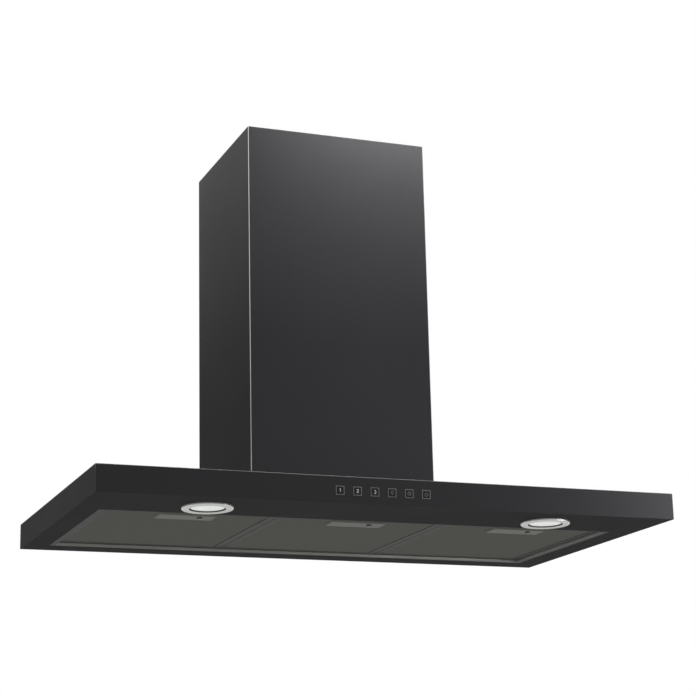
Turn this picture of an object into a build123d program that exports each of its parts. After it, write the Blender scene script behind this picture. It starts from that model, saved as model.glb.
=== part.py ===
from build123d import *
import os
from math import cos, radians, sin

# Wall-mounted T-shaped chimney range hood, in millimetres.
# X runs to the right, Y into the wall and Z up. The origin is on the wall plane, at the
# middle of the canopy's lower back edge, so the hood's front is at -Y.

os.makedirs("parts", exist_ok=True)

# ---------------------------------------------------------------- driving dimensions
# canopy
canopy_width = 900.0
canopy_depth = 500.0
canopy_height = 40.0
canopy_sheet = 1.0
corner_fold = 2.0            # outer radius of the two upright front folds
top_fold = 1.5               # outer radius of the folds round the top
hem_round = 0.6              # ground lower edge of the walls

# filter opening in the underside
front_strip = 129.0
rear_strip = 37.0
side_strip = 38.0
rim_height = 5.0             # underside to the filters' faces
rim_round = 0.8
shelf_width = 10.0
surround_width = 8.0        # light frame inside the rim
surround_sheet = 0.8
surround_lift = 0.8          # underside to the surround's face
surround_round = 0.4

# grease filters
filter_count = 3
filter_gap = 1.0             # between two filters, and between a filter and the rim
filter_thickness = 9.0
filter_sheet = 0.8
filter_border = 12.0
filter_corner = 1.5
filter_tab_length = 7.0
filter_tab_width = 22.0
filter_tab_spread = 160.0
mesh_clearance = 0.1
mesh_sheet = 0.5
mesh_layers = 3

# filter latch
latch_plate_width = 88.0
latch_plate_depth = 36.0
latch_plate_setback = 24.0   # filter's front edge to the plate
latch_plate_proud = 2.0
latch_plate_sheet = 0.8
latch_plate_slope = 1.6
latch_travel = 8.0
latch_reach = 7.0            # bolt beyond the filter's front edge
latch_offset = 20.0          # bolt to the right of the filter's middle
latch_setback = 39.0         # filter's front edge to the knob
latch_bolt_width = 12.0
latch_bolt_thickness = 1.5
latch_knob_radius = 4.0
latch_knob_height = 1.8
latch_stem_radius = 2.0
latch_clearance = 0.2
latch_knob_round = 0.8
latch_mouth = 2.0            # slack of the frame's cut beyond the bolt's travel
rivet_radius = 2.4
rivet_spread = 70.0

# lamps
lamp_spread = 536.0
lamp_setback = 74.0          # canopy front to the lamp's middle
lamp_radius = 37.5
lamp_proud = 4.0
lamp_edge_round = 2.4
lamp_hole_radius = 33.0
lamp_sleeve_gap = 0.3
lens_radius = 24.3
lens_gap = 0.5
lens_thickness = 2.0
lens_recess = 2.0            # lens face above the bezel's rim
lens_crown = 0.6             # fall of the lens face from its middle to its edge
annulus_recess = 0.9
groove_width = 1.6
groove_depth = 1.8
lamp_edge_slope = 1.2
sleeve_top = 6.0
lamp_board_z = 3.0
lamp_board_radius = 28.0
lamp_board_thickness = 1.2
led_size = 3.5
led_height = 0.8
can_wall = 1.5
can_gap = 0.2
can_skirt_drop = 1.2
fin_count = 16
fin_thickness = 1.2
fin_inner_radius = 7.0
lamp_can_height = 14.0
clip_width = 9.0
clip_sheet = 0.6
clip_reach = 14.0
clip_rise = 5.0
clip_toe = 1.5
clip_bend = 2.0
clip_gap = 0.05
led_count = 8

# push buttons
button_count = 6
button_pitch = 26.7
button_bank_x = -26.7
button_height_z = 19.0
button_frame_size = 13.0
button_frame_wall = 1.0
button_frame_proud = 0.3
button_cap_gap = 0.2
button_cap_proud = 0.6
button_travel = 1.2
button_plate_thickness = 1.5
button_cap_chamfer = 0.3
button_flange_thickness = 1.0
bank_margin = 8.0            # frame's plate beyond the row of buttons
bank_height = 24.0
bank_corner = 3.0
boss_radius = 2.5
boss_inset = 4.0
panel_board_gap = 6.4
panel_board_inset = 1.0
panel_board_thickness = 1.6
connector_width = 24.0
connector_height = 9.0
chip_size = 12.0
chip_offset = 45.0
component_height = 5.0
switch_size = 6.0
switch_height = 2.6
switch_stem_radius = 1.7
switch_gap = 0.1

# chimney
chimney_width = 305.0
chimney_depth = 275.0
chimney_height = 612.0
chimney_sheet = 1.0
chimney_fold = 2.0
chimney_flange = 15.0
telescope_gap = 0.8
seat_gap = 0.2
wall_gap = 0.3
vent_count = 8
vent_length = 120.0
vent_height = 4.0
vent_pitch = 9.0
vent_drop = 80.0             # chimney top to the middle of the vents
chimney_tab_length = 140.0
chimney_tab_inset = 12.0
chimney_screw_spread = 100.0
bracket_height = 22.0
bracket_drop = 4.0           # chimney top to the bracket
bracket_arm = 48.0
bracket_thickness = 2.0
bracket_screw_setback = 12.0
bracket_bolt_spread = 200.0
bracket_boss_radius = 9.0

# blower box
box_side_gap = 27.5          # chimney side to box side: room for the electronics
box_front_gap = 30.0
box_height = 260.0
box_sheet = 1.0
box_flange = 12.0
inlet_cut_margin = 6.0       # canopy cut-out inside the box walls
box_screw_setback = 30.0
box_front_screw_spread = 180.0
hanger_spread = 180.0
hanger_width = 30.0
hanger_drop = 28.0           # box top to the hanger's seat
hanger_bolt_drop = 21.0
hanger_foot_gap = 4.0        # hanger's foot above the window's lower edge
hook_height = 10.0
hook_slope = 2.0
hanger_thickness = 3.0
window_width = 36.0
window_height = 34.0
lock_hole_spread = 200.0
lock_hole_rise = 22.0

# fan
wheel_half_width = 57.0
blade_count = 36
blade_chord = 14.0
wheel_sheet = 2.0
hub_radius = 10.0
hub_half_length = 10.0
shaft_radius = 4.0
shaft_fit = 0.05
shaft_press_gap = 0.02
shaft_end = 6.0              # shaft beyond the motor's back
shaft_nose = 3.0             # shaft beyond the wheel's hub
shaft_chamfer = 0.6
scroll_step = 12.0           # growth of the scroll's radius at each quarter turn
scroll_gap = 8.0             # tongue to wheel
scroll_wall = 2.0
scroll_half_width = 62.0
scroll_outlet_height = 95.0  # shaft to the scroll's outlet
scroll_tongue = 12.0         # shaft to the outlet's near wall
scroll_flange = 6.0
scroll_margin = 12.5         # scroll's flange to the box's front and back
shaft_drop = 135.0           # box top to the shaft
bell_depth = 8.0
bell_lip = 6.0
motor_gap = 14.0             # motor to the blades round it
motor_length = 60.0
motor_boss = 12.0
motor_fillet = 3.0
motor_front_gap = 2.0
motor_boss_height = 1.2
motor_seat_inset = 6.0
motor_band_rise = 14.0
motor_band_width = 3.0
motor_band_proud = 1.5
motor_slot_rise = 26.0
motor_slot_length = 22.0
motor_slot_width = 9.0
motor_slot_depth = 2.0
motor_slot_count = 12
bush_gap = 14.0              # inlet's edge to the rubber bushes' middles
bush_radius = 6.0
bracket_sheet = 2.0
bracket_arm_width = 16.0
capacitor_radius = 16.0
capacitor_length = 62.0
capacitor_rise = 30.0        # canopy top to the capacitor
capacitor_setback = 40.0     # wall to the capacitor's middle
capacitor_clamp = 12.0
capacitor_gap = 1.0
capacitor_round = 1.5
capacitor_band = 0.8

# outlet
collar_wall_gap = 14.0       # wall to the collar's flange
collar_radius = 74.5
collar_wall = 2.5
collar_height = 45.0
collar_flange_radius = 86.0
collar_flange_thickness = 3.0
collar_screw_circle = 80.5
collar_screw_count = 4
duct_inset = 1.5             # duct's bore inside the collar's outer radius
flap_thickness = 1.5
flap_pin_radius = 1.5
flap_barrel_radius = 1.7
flap_axis_offset = 2.2
flap_gap = 1.5
flap_bar_gap = 0.3
flap_barrel_gap = 2.5        # barrel's ends to the collar
flap_pin_length = 1.5        # pins in the collar's wall
flap_bar_rise = 1.0
collar_lip = 1.0
ledge_rise = 8.0
ledge_width = 5.0
ledge_thickness = 2.0

# power electronics
unit_depth = 100.0
unit_height = 110.0
unit_clearance = 6.5         # housing to the chimney's outer face
unit_setback = 150.0         # wall to the housing's middle
unit_drop = 20.0
unit_wall = 1.6
unit_corner = 3.0
gland_radius = 8.0
gland_bore = 3.6
gland_wall = 1.2
gland_step = 1.8             # hexagon's corners to the round cap
gland_round = 2.0
gland_nut_height = 5.0
gland_spigot_length = 3.0
gland_length = 18.0

# fixings
wall_bolt_radius = 3.25
screw_radius = 2.0
screw_gap = 0.1
screw_head_radius = 4.0
screw_head_height = 2.5
screw_length = 6.0
short_screw_length = 5.0

# ---------------------------------------------------------------- derived places
opening_width = canopy_width - 2 * side_strip
opening_depth = canopy_depth - front_strip - rear_strip
opening_y = -rear_strip - opening_depth / 2
field_width = opening_width - 2 * surround_width
field_depth = opening_depth - 2 * surround_width
filter_width = (field_width - (filter_count + 1) * filter_gap) / filter_count
filter_depth = field_depth - 2 * filter_gap
filter_back = -rear_strip - surround_width - filter_gap
filter_front = filter_back - filter_depth
filter_xs = [(i - (filter_count - 1) / 2) * (filter_width + filter_gap) for i in range(filter_count)]
lamp_y = -canopy_depth + lamp_setback
lamp_places = {"left": (-lamp_spread / 2, lamp_y), "right": (lamp_spread / 2, lamp_y)}
button_xs = [button_bank_x + (i - (button_count - 1) / 2) * button_pitch for i in range(button_count)]
button_hole = button_frame_size + 2 * button_cap_gap
chimney_top = canopy_height + chimney_height
box_width = chimney_width - 2 * box_side_gap
box_depth = chimney_depth - box_front_gap
box_top = canopy_height + box_height
scroll_clear = scroll_margin + scroll_wall + scroll_flange
wheel_radius = box_depth / 2 - scroll_clear - scroll_gap - 2 * scroll_step
inlet_radius = wheel_radius - blade_chord
motor_radius = inlet_radius - motor_gap
shaft_y = -scroll_clear - wheel_radius - scroll_gap - 3 * scroll_step
shaft_z = box_top - shaft_drop
duct_y = -collar_flange_radius - collar_wall_gap
screw_hole_radius = screw_radius + screw_gap


def keep(piece, name):
    """Label a finished piece and write its STEP file."""
    piece.part.label = name
    export_step(piece.part, f"parts/{name}.step")


def axis_plane(x, y, z=0.0):
    """Upright plane through a vertical axis at (x, y), for profiles that are revolved."""
    return Plane(origin=(x, y, z), x_dir=(1, 0, 0), z_dir=(0, -1, 0))


# ---------------------------------------------------------------- canopy
chimney_screw_x = chimney_width / 2 - chimney_sheet - chimney_tab_inset / 2
chimney_screw_ys = [(s * chimney_screw_spread - chimney_depth) / 2 for s in (-1, 1)]
chimney_screw_places = [(sx * chimney_screw_x, y) for sx in (-1, 1) for y in chimney_screw_ys]
box_screw_x = box_width / 2 + box_flange / 2
box_screw_ys = (-box_depth + box_screw_setback, -box_screw_setback)
box_front_screw_x = box_front_screw_spread / 2
box_screw_places = [(sx * box_screw_x, y) for sx in (-1, 1) for y in box_screw_ys]
box_screw_places += [(sx * box_front_screw_x, -box_depth - box_sheet - box_flange / 2) for sx in (-1, 1)]

with BuildPart() as canopy_shell:
    with BuildSketch() as outline:
        Rectangle(canopy_width, canopy_depth, align=(Align.CENTER, Align.MAX))
        fillet(outline.vertices().group_by(Axis.Y)[0], corner_fold)
    extrude(amount=canopy_height)
    folded = canopy_shell.faces().sort_by(Axis.Z)[-1].edges().sort_by(Axis.Y)[:-1]
    fillet(folded, top_fold)
    with BuildSketch() as hollow:
        with Locations((0, -canopy_sheet)):
            Rectangle(canopy_width - 2 * canopy_sheet, canopy_depth - 2 * canopy_sheet,
                      align=(Align.CENTER, Align.MAX))
        fillet(hollow.vertices().group_by(Axis.Y)[0], corner_fold - canopy_sheet)
    extrude(amount=canopy_height - canopy_sheet, mode=Mode.SUBTRACT)
    hem = canopy_shell.faces().sort_by(Axis.Z)[0].outer_wire().edges().sort_by(Axis.Y)[:-1]
    fillet(hem, hem_round)
    with BuildSketch(Plane.XY.offset(canopy_height - canopy_sheet)):
        with Locations((0, -box_depth / 2)):
            Rectangle(box_width - 2 * inlet_cut_margin, box_depth - 2 * inlet_cut_margin)
        with Locations(*box_screw_places, *chimney_screw_places):
            Circle(screw_hole_radius)
    extrude(amount=canopy_sheet, mode=Mode.SUBTRACT)
    with BuildSketch(Plane.XZ.offset(canopy_depth)):
        with Locations(*[(x, button_height_z) for x in button_xs]):
            Rectangle(button_hole, button_hole)
    extrude(amount=-canopy_sheet, mode=Mode.SUBTRACT)
keep(canopy_shell, "canopy_shell")

with BuildPart() as underside_panel:
    with BuildSketch() as panel:
        with Locations((0, -canopy_sheet)):
            Rectangle(canopy_width - 2 * canopy_sheet, canopy_depth - 2 * canopy_sheet,
                      align=(Align.CENTER, Align.MAX))
        fillet(panel.vertices().group_by(Axis.Y)[0], corner_fold - canopy_sheet)
        with Locations((0, opening_y)):
            Rectangle(opening_width, opening_depth, mode=Mode.SUBTRACT)
        with Locations(*lamp_places.values()):
            Circle(lamp_hole_radius, mode=Mode.SUBTRACT)
    extrude(amount=canopy_sheet)
    with BuildSketch():
        with Locations((0, opening_y)):
            Rectangle(opening_width + 2 * canopy_sheet, opening_depth + 2 * canopy_sheet)
            Rectangle(opening_width, opening_depth, mode=Mode.SUBTRACT)
    extrude(amount=rim_height)
    with BuildSketch(Plane.XY.offset(rim_height - canopy_sheet)):
        with Locations((0, opening_y)):
            Rectangle(opening_width + 2 * shelf_width, opening_depth + 2 * shelf_width)
            Rectangle(opening_width, opening_depth, mode=Mode.SUBTRACT)
    extrude(amount=canopy_sheet)
    rim_edges = [e for e in underside_panel.faces().sort_by(Axis.Z)[0].edges().filter_by(GeomType.LINE)
                 if abs(e.center().X) < opening_width / 2 + 1
                 and abs(e.center().Y - opening_y) < opening_depth / 2 + 1]
    fillet(rim_edges, rim_round)
keep(underside_panel, "underside_panel")

# Folded surround pressed into the rim: a C-section that is open towards the rim. The filters'
# tabs and bolts rest on its top.
with BuildPart() as filter_surround:
    with BuildSketch(Plane.XY.offset(surround_lift)):
        with Locations((0, opening_y)):
            Rectangle(opening_width, opening_depth)
            Rectangle(field_width, field_depth, mode=Mode.SUBTRACT)
    extrude(amount=rim_height - surround_lift)
    with BuildSketch(Plane.XY.offset(surround_lift + surround_sheet)):
        with Locations((0, opening_y)):
            Rectangle(opening_width, opening_depth)
            Rectangle(field_width + 2 * surround_sheet, field_depth + 2 * surround_sheet,
                      mode=Mode.SUBTRACT)
    extrude(amount=rim_height - surround_lift - 2 * surround_sheet, mode=Mode.SUBTRACT)
    inner_edges = [e for e in filter_surround.faces().sort_by(Axis.Z)[0].edges()
                   if abs(e.center().X) < field_width / 2 + surround_sheet
                   and abs(e.center().Y - opening_y) < field_depth / 2 + surround_sheet]
    fillet(inner_edges, surround_round)
keep(filter_surround, "filter_surround")

# ---------------------------------------------------------------- grease filters
# Each filter hooks over the rear of the surround with two tabs, and a sprung bolt holds its front edge.
# The latch plate is a shallow pressing riveted under the mesh; the bolt's knob shows under it.
# The mesh pack is drawn as its flat layers, which lie in the frame's U-section.
pack_bottom = rim_height + filter_sheet
mesh_pitch = (filter_thickness - 2 * filter_sheet - 2 * mesh_clearance - mesh_sheet) / (mesh_layers - 1)
bolt_tail = 6.0
spring_packed = 5.0          # the spring's length when the bolt is slid back
bolt_z = pack_bottom + mesh_clearance + mesh_sheet + latch_clearance
latch_plate_y = filter_front + latch_plate_setback + latch_plate_depth / 2
knob_y = filter_front + latch_setback
bolt_back = knob_y + latch_stem_radius + bolt_tail
pocket_back = bolt_back + latch_travel + spring_packed    # the stop that the spring leans on
pack_inset = filter_sheet + mesh_clearance
bolt_mouth = filter_sheet + latch_travel + latch_mouth
cup_inset = latch_plate_slope + latch_plate_sheet / 2
plate_face_z = rim_height - latch_plate_proud
bolt_tip_chamfer = 1.2
stop_depth = 2.0
bolt_tip_drop = 1.4
stem_slot = 2 * (latch_stem_radius + latch_clearance)
bolt_channel = latch_bolt_width + 2 * latch_clearance
spring_leaf = 0.4
spring_leaf_height = 1.5
spring_legs = 5
spring_half_span = latch_bolt_width / 2 - 1.0
spring_front = bolt_back + latch_clearance + spring_leaf
spring_back = pocket_back - latch_clearance - spring_leaf


def build_filter(number, x):
    """One filter: U-section frame, mesh pack, latch plate, bolt with its knob, leaf spring."""
    latch_x = x + latch_offset
    middle_y = (filter_front + filter_back) / 2

    with BuildPart() as frame:
        with BuildSketch(Plane.XY.offset(rim_height)) as border:
            with Locations((x, middle_y)):
                Rectangle(filter_width, filter_depth)
            fillet(border.vertices(), filter_corner)
            with Locations((x, middle_y)):
                Rectangle(filter_width - 2 * filter_border, filter_depth - 2 * filter_border,
                          mode=Mode.SUBTRACT)
        extrude(amount=filter_thickness)
        with BuildSketch(Plane.XY.offset(pack_bottom)):
            with Locations((x, middle_y)):
                Rectangle(filter_width - 2 * filter_sheet, filter_depth - 2 * filter_sheet)
        extrude(amount=filter_thickness - 2 * filter_sheet, mode=Mode.SUBTRACT)
        with BuildSketch(Plane.XY.offset(rim_height)):
            with Locations(*[(x + side * filter_tab_spread / 2, filter_back) for side in (-1, 1)]):
                Rectangle(filter_tab_width, filter_tab_length, align=(Align.CENTER, Align.MIN))
        extrude(amount=filter_sheet)
        with BuildSketch(Plane.XY.offset(rim_height)):
            with Locations((latch_x, filter_front)):
                Rectangle(bolt_channel, bolt_mouth, align=(Align.CENTER, Align.MIN))
        extrude(amount=bolt_z + latch_bolt_thickness + latch_clearance - rim_height, mode=Mode.SUBTRACT)
    keep(frame, f"filter_frame_{number}")

    with BuildPart() as pack:
        for layer in range(mesh_layers):
            with BuildSketch(Plane.XY.offset(pack_bottom + mesh_clearance + layer * mesh_pitch)):
                with Locations((x, middle_y)):
                    Rectangle(filter_width - 2 * pack_inset, filter_depth - 2 * pack_inset)
            extrude(amount=mesh_sheet)
        with BuildSketch(Plane.XY.offset(pack_bottom + mesh_clearance)):
            with Locations((latch_x, pocket_back)):
                Rectangle(bolt_channel, stop_depth, align=(Align.CENTER, Align.MIN))
        extrude(amount=mesh_pitch - mesh_clearance)
        with BuildSketch(Plane.XY.offset(rim_height)):
            with Locations((latch_x, knob_y + latch_travel / 2)):
                SlotOverall(latch_travel + stem_slot, stem_slot, rotation=90)
            with Locations((latch_x, filter_front)):
                Rectangle(bolt_channel, bolt_mouth, align=(Align.CENTER, Align.MIN))
        extrude(amount=mesh_pitch, mode=Mode.SUBTRACT)
    keep(pack, f"filter_mesh_{number}")

    with BuildPart() as plate:
        with BuildSketch(Plane.XY.offset(rim_height)):
            with Locations((x, latch_plate_y)):
                Rectangle(latch_plate_width, latch_plate_depth)
        with BuildSketch(Plane.XY.offset(plate_face_z)):
            with Locations((x, latch_plate_y)):
                Rectangle(latch_plate_width - 2 * latch_plate_slope,
                          latch_plate_depth - 2 * latch_plate_slope)
        loft()
        with BuildSketch(Plane.XY.offset(rim_height)):
            with Locations((x, latch_plate_y)):
                Rectangle(latch_plate_width - 2 * latch_plate_sheet,
                          latch_plate_depth - 2 * latch_plate_sheet)
        with BuildSketch(Plane.XY.offset(plate_face_z + latch_plate_sheet)):
            with Locations((x, latch_plate_y)):
                Rectangle(latch_plate_width - 2 * cup_inset, latch_plate_depth - 2 * cup_inset)
        loft(mode=Mode.SUBTRACT)
        with BuildSketch(Plane.XY.offset(plate_face_z)):
            with Locations((latch_x, knob_y + latch_travel / 2)):
                SlotOverall(latch_travel + stem_slot, stem_slot, rotation=90)
        extrude(amount=latch_plate_sheet, mode=Mode.SUBTRACT)
        with BuildSketch(Plane.XY.offset(plate_face_z)):
            with Locations(*[(x + side * rivet_spread / 2, latch_plate_y) for side in (-1, 1)]):
                Circle(rivet_radius)
        extrude(amount=latch_plate_proud + filter_sheet + mesh_clearance)
    keep(plate, f"latch_plate_{number}")

    with BuildPart() as bolt:
        with BuildSketch(Plane.XY.offset(bolt_z)):
            with Locations((latch_x, filter_front - latch_reach)):
                Rectangle(latch_bolt_width, bolt_back - filter_front + latch_reach,
                          align=(Align.CENTER, Align.MIN))
        extrude(amount=latch_bolt_thickness)
        tip_edge = bolt.faces().sort_by(Axis.Z)[-1].edges().sort_by(Axis.Y)[0]
        chamfer(tip_edge, bolt_tip_chamfer)
        with BuildSketch(Plane.XY.offset(bolt_z - bolt_tip_drop)):
            with Locations((latch_x, filter_front - latch_reach)):
                Rectangle(latch_bolt_width, latch_reach, align=(Align.CENTER, Align.MIN))
        extrude(amount=bolt_tip_drop)
        with BuildSketch(Plane.XY.offset(plate_face_z - latch_clearance)):
            with Locations((latch_x, knob_y)):
                Circle(latch_knob_radius)
        extrude(amount=-latch_knob_height)
        knob_rim = bolt.edges().filter_by(GeomType.CIRCLE).sort_by(Axis.Z)[0]
        fillet(knob_rim, latch_knob_round)
        with BuildSketch(Plane.XY.offset(plate_face_z - latch_clearance)):
            with Locations((latch_x, knob_y)):
                Circle(latch_stem_radius)
        extrude(amount=bolt_z - plate_face_z + latch_clearance)
    keep(bolt, f"latch_bolt_{number}")

    with BuildPart() as spring:
        with BuildSketch(Plane.XY.offset(bolt_z)):
            with BuildLine():
                Polyline(*[(latch_x + spring_half_span * (-1) ** leg,
                            spring_front + leg * (spring_back - spring_front) / spring_legs)
                           for leg in range(spring_legs + 1)])
            trace(line_width=spring_leaf)
        extrude(amount=spring_leaf_height)
    keep(spring, f"latch_spring_{number}")


for index, filter_x in enumerate(filter_xs):
    build_filter(index + 1, filter_x)

# ---------------------------------------------------------------- lamps
# A round LED spot: a proud bezel with a rounded edge, a groove and a frosted lens, a finned can
# above the sheet, and two spring clips that pull the bezel up against the underside.
sleeve_radius = lamp_hole_radius - lamp_sleeve_gap
lens_face = -lamp_proud + lens_recess
annulus_z = -lamp_proud + annulus_recess
groove_z = annulus_z + groove_depth
groove_outer = lens_radius + lens_gap + groove_width
sleeve_base = lamp_board_z - can_wall
lens_back = sleeve_base - can_gap
can_radius = sleeve_radius - can_wall - can_gap
can_base = lamp_board_z + lamp_board_thickness + mesh_clearance
can_skirt = lamp_board_z - can_skirt_drop
fin_length = can_radius - 1.0 - fin_inner_radius


def build_lamp(side, x, y):
    """One lamp: bezel, lens, LED board and finned can."""
    with BuildPart() as bezel:
        with BuildSketch(axis_plane(x, y)):
            with BuildLine():
                Polyline(
                    (lens_radius + lens_gap, sleeve_base),
                    (lens_radius + lens_gap, lens_face + lens_thickness),
                    (lens_radius + lens_gap, groove_z),
                    (groove_outer, groove_z),
                    (groove_outer, annulus_z),
                    (lamp_radius - lamp_edge_round - lamp_edge_slope, annulus_z),
                    (lamp_radius - lamp_edge_round, -lamp_proud),
                )
                CenterArc((lamp_radius - lamp_edge_round, -lamp_proud + lamp_edge_round),
                          lamp_edge_round, -90, 90)
                Polyline(
                    (lamp_radius, -lamp_proud + lamp_edge_round),
                    (lamp_radius, 0),
                    (sleeve_radius, 0),
                    (sleeve_radius, sleeve_top),
                    (sleeve_radius - can_wall, sleeve_top),
                    (sleeve_radius - can_wall, sleeve_base),
                    (lens_radius + lens_gap, sleeve_base),
                )
            make_face()
        revolve(axis=Axis((x, y, 0), (0, 0, 1)))
    keep(bezel, f"lamp_bezel_{side}")

    with BuildPart() as lens:
        with BuildSketch(axis_plane(x, y)):
            with BuildLine():
                Line((0, lens_back), (0, lens_face))
                ThreePointArc((0, lens_face),
                              (lens_radius * 0.7, lens_face + lens_crown / 2),
                              (lens_radius, lens_face + lens_crown))
                Polyline((lens_radius, lens_face + lens_crown), (lens_radius, lens_back), (0, lens_back))
            make_face()
        revolve(axis=Axis((x, y, 0), (0, 0, 1)))
    keep(lens, f"lamp_lens_{side}")

    with BuildPart() as board:
        with BuildSketch(Plane.XY.offset(lamp_board_z)):
            with Locations((x, y)):
                Circle(lamp_board_radius)
        extrude(amount=lamp_board_thickness)
        with BuildSketch(Plane.XY.offset(lamp_board_z)):
            with Locations((x, y)):
                with PolarLocations(0.6 * lamp_board_radius, led_count):
                    Rectangle(led_size, led_size)
        extrude(amount=-led_height)
    keep(board, f"lamp_board_{side}")

    with BuildPart() as can:
        with BuildSketch(Plane.XY.offset(can_base)):
            with Locations((x, y)):
                Circle(can_radius)
        extrude(amount=can_wall)
        with BuildSketch(Plane.XY.offset(can_base + can_wall)):
            with Locations((x, y)):
                with PolarLocations(fin_inner_radius + fin_length / 2, fin_count):
                    Rectangle(fin_length, fin_thickness)
        extrude(amount=lamp_can_height - lamp_board_z - can_wall)
        with BuildSketch(Plane.XY.offset(can_skirt)):
            with Locations((x, y)):
                Circle(can_radius)
                Circle(lamp_board_radius + wall_gap, mode=Mode.SUBTRACT)
        extrude(amount=can_base - can_skirt)
    keep(can, f"lamp_can_{side}")


for lamp_side, (lamp_x, lamp_row_y) in lamp_places.items():
    build_lamp(lamp_side, lamp_x, lamp_row_y)

with BuildPart() as lamp_clips:
    for lamp_x, lamp_row_y in lamp_places.values():
        for side in (-1, 1):
            foot = lamp_x + side * (sleeve_radius + clip_gap)
            with BuildSketch(Plane.XZ.offset(-lamp_row_y + clip_width / 2)):
                with BuildLine():
                    Polyline(
                        (foot, canopy_sheet + clip_bend),
                        (foot, sleeve_top + clip_rise),
                        (foot + side * clip_sheet, sleeve_top + clip_rise),
                        (foot + side * (clip_sheet + clip_bend / 2), canopy_sheet + clip_bend + clip_sheet),
                        (foot + side * clip_reach, canopy_sheet + clip_sheet),
                        (foot + side * clip_reach, canopy_sheet),
                        (foot + side * (clip_reach - clip_toe), canopy_sheet),
                        (foot, canopy_sheet + clip_bend),
                    )
                make_face()
            extrude(amount=-clip_width)
keep(lamp_clips, "lamp_clips")

# ---------------------------------------------------------------- push buttons
# A moulded frame sits behind the front sheet, and its six square collars show round the caps.
frame_back = canopy_depth - canopy_sheet - button_plate_thickness
cap_size = button_frame_size - 2 * (button_frame_wall + button_cap_gap)
board_front = frame_back - panel_board_gap
bank_width = button_count * button_pitch + bank_margin
cap_back = frame_back - switch_gap - button_flange_thickness
stem_front = cap_back - button_travel - switch_gap
boss_x = bank_width / 2 - boss_inset
boss_z = bank_height / 2 - boss_inset
boss_places = [(button_bank_x + sx * boss_x, button_height_z + sz * boss_z)
               for sx in (-1, 1) for sz in (-1, 1)]

with BuildPart() as button_frame:
    with BuildSketch(Plane.XZ.offset(frame_back)) as frame_plate:
        with Locations((button_bank_x, button_height_z)):
            Rectangle(bank_width, bank_height)
        fillet(frame_plate.vertices(), bank_corner)
    extrude(amount=button_plate_thickness)
    with BuildSketch(Plane.XZ.offset(frame_back)):
        with Locations(*[(x, button_height_z) for x in button_xs]):
            Rectangle(button_frame_size, button_frame_size)
    extrude(amount=canopy_depth + button_frame_proud - frame_back)
    with BuildSketch(Plane.XZ.offset(frame_back)):
        with Locations(*[(x, button_height_z) for x in button_xs]):
            Rectangle(button_frame_size - 2 * button_frame_wall, button_frame_size - 2 * button_frame_wall)
    extrude(amount=canopy_depth + button_frame_proud - frame_back, mode=Mode.SUBTRACT)
    with BuildSketch(Plane.XZ.offset(frame_back)):
        with Locations(*boss_places):
            Circle(boss_radius)
    extrude(amount=board_front - frame_back)
keep(button_frame, "button_frame")

for index, button_x in enumerate(button_xs):
    with BuildPart() as button:
        with BuildSketch(Plane.XZ.offset(cap_back)):
            with Locations((button_x, button_height_z)):
                Rectangle(button_frame_size, button_frame_size)
        extrude(amount=button_flange_thickness)
        with BuildSketch(Plane.XZ.offset(cap_back)):
            with Locations((button_x, button_height_z)):
                Rectangle(cap_size, cap_size)
        extrude(amount=canopy_depth + button_cap_proud - cap_back)
        cap_rim = button.faces().sort_by(Axis.Y)[0].edges()
        chamfer(cap_rim, button_cap_chamfer)
    keep(button, f"button_{index + 1}")

with BuildPart() as control_board:
    with BuildSketch(Plane.XZ.offset(board_front)):
        with Locations((button_bank_x, button_height_z)):
            Rectangle(bank_width - 2 * panel_board_inset, bank_height - 2 * panel_board_inset)
    extrude(amount=-panel_board_thickness)
    with BuildSketch(Plane.XZ.offset(board_front - panel_board_thickness)):
        with Locations((button_bank_x, button_height_z)):
            Rectangle(connector_width, connector_height)
        with Locations((button_bank_x + chip_offset, button_height_z)):
            Rectangle(chip_size, chip_size)
    extrude(amount=-component_height)
keep(control_board, "control_board")

with BuildPart() as tact_switches:
    with BuildSketch(Plane.XZ.offset(board_front)):
        with Locations(*[(x, button_height_z) for x in button_xs]):
            Rectangle(switch_size, switch_size)
    extrude(amount=switch_height)
    with BuildSketch(Plane.XZ.offset(board_front)):
        with Locations(*[(x, button_height_z) for x in button_xs]):
            Circle(switch_stem_radius)
    extrude(amount=stem_front - board_front)
keep(tact_switches, "tact_switches")

# ---------------------------------------------------------------- blower box
# Folded galvanised sheet: back, two sides and top in one, open below to the canopy.
hanger_x = hanger_spread / 2
hanger_seat_z = box_top - hanger_drop
lock_hole_x = lock_hole_spread / 2
lock_hole_z = canopy_height + lock_hole_rise

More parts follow.
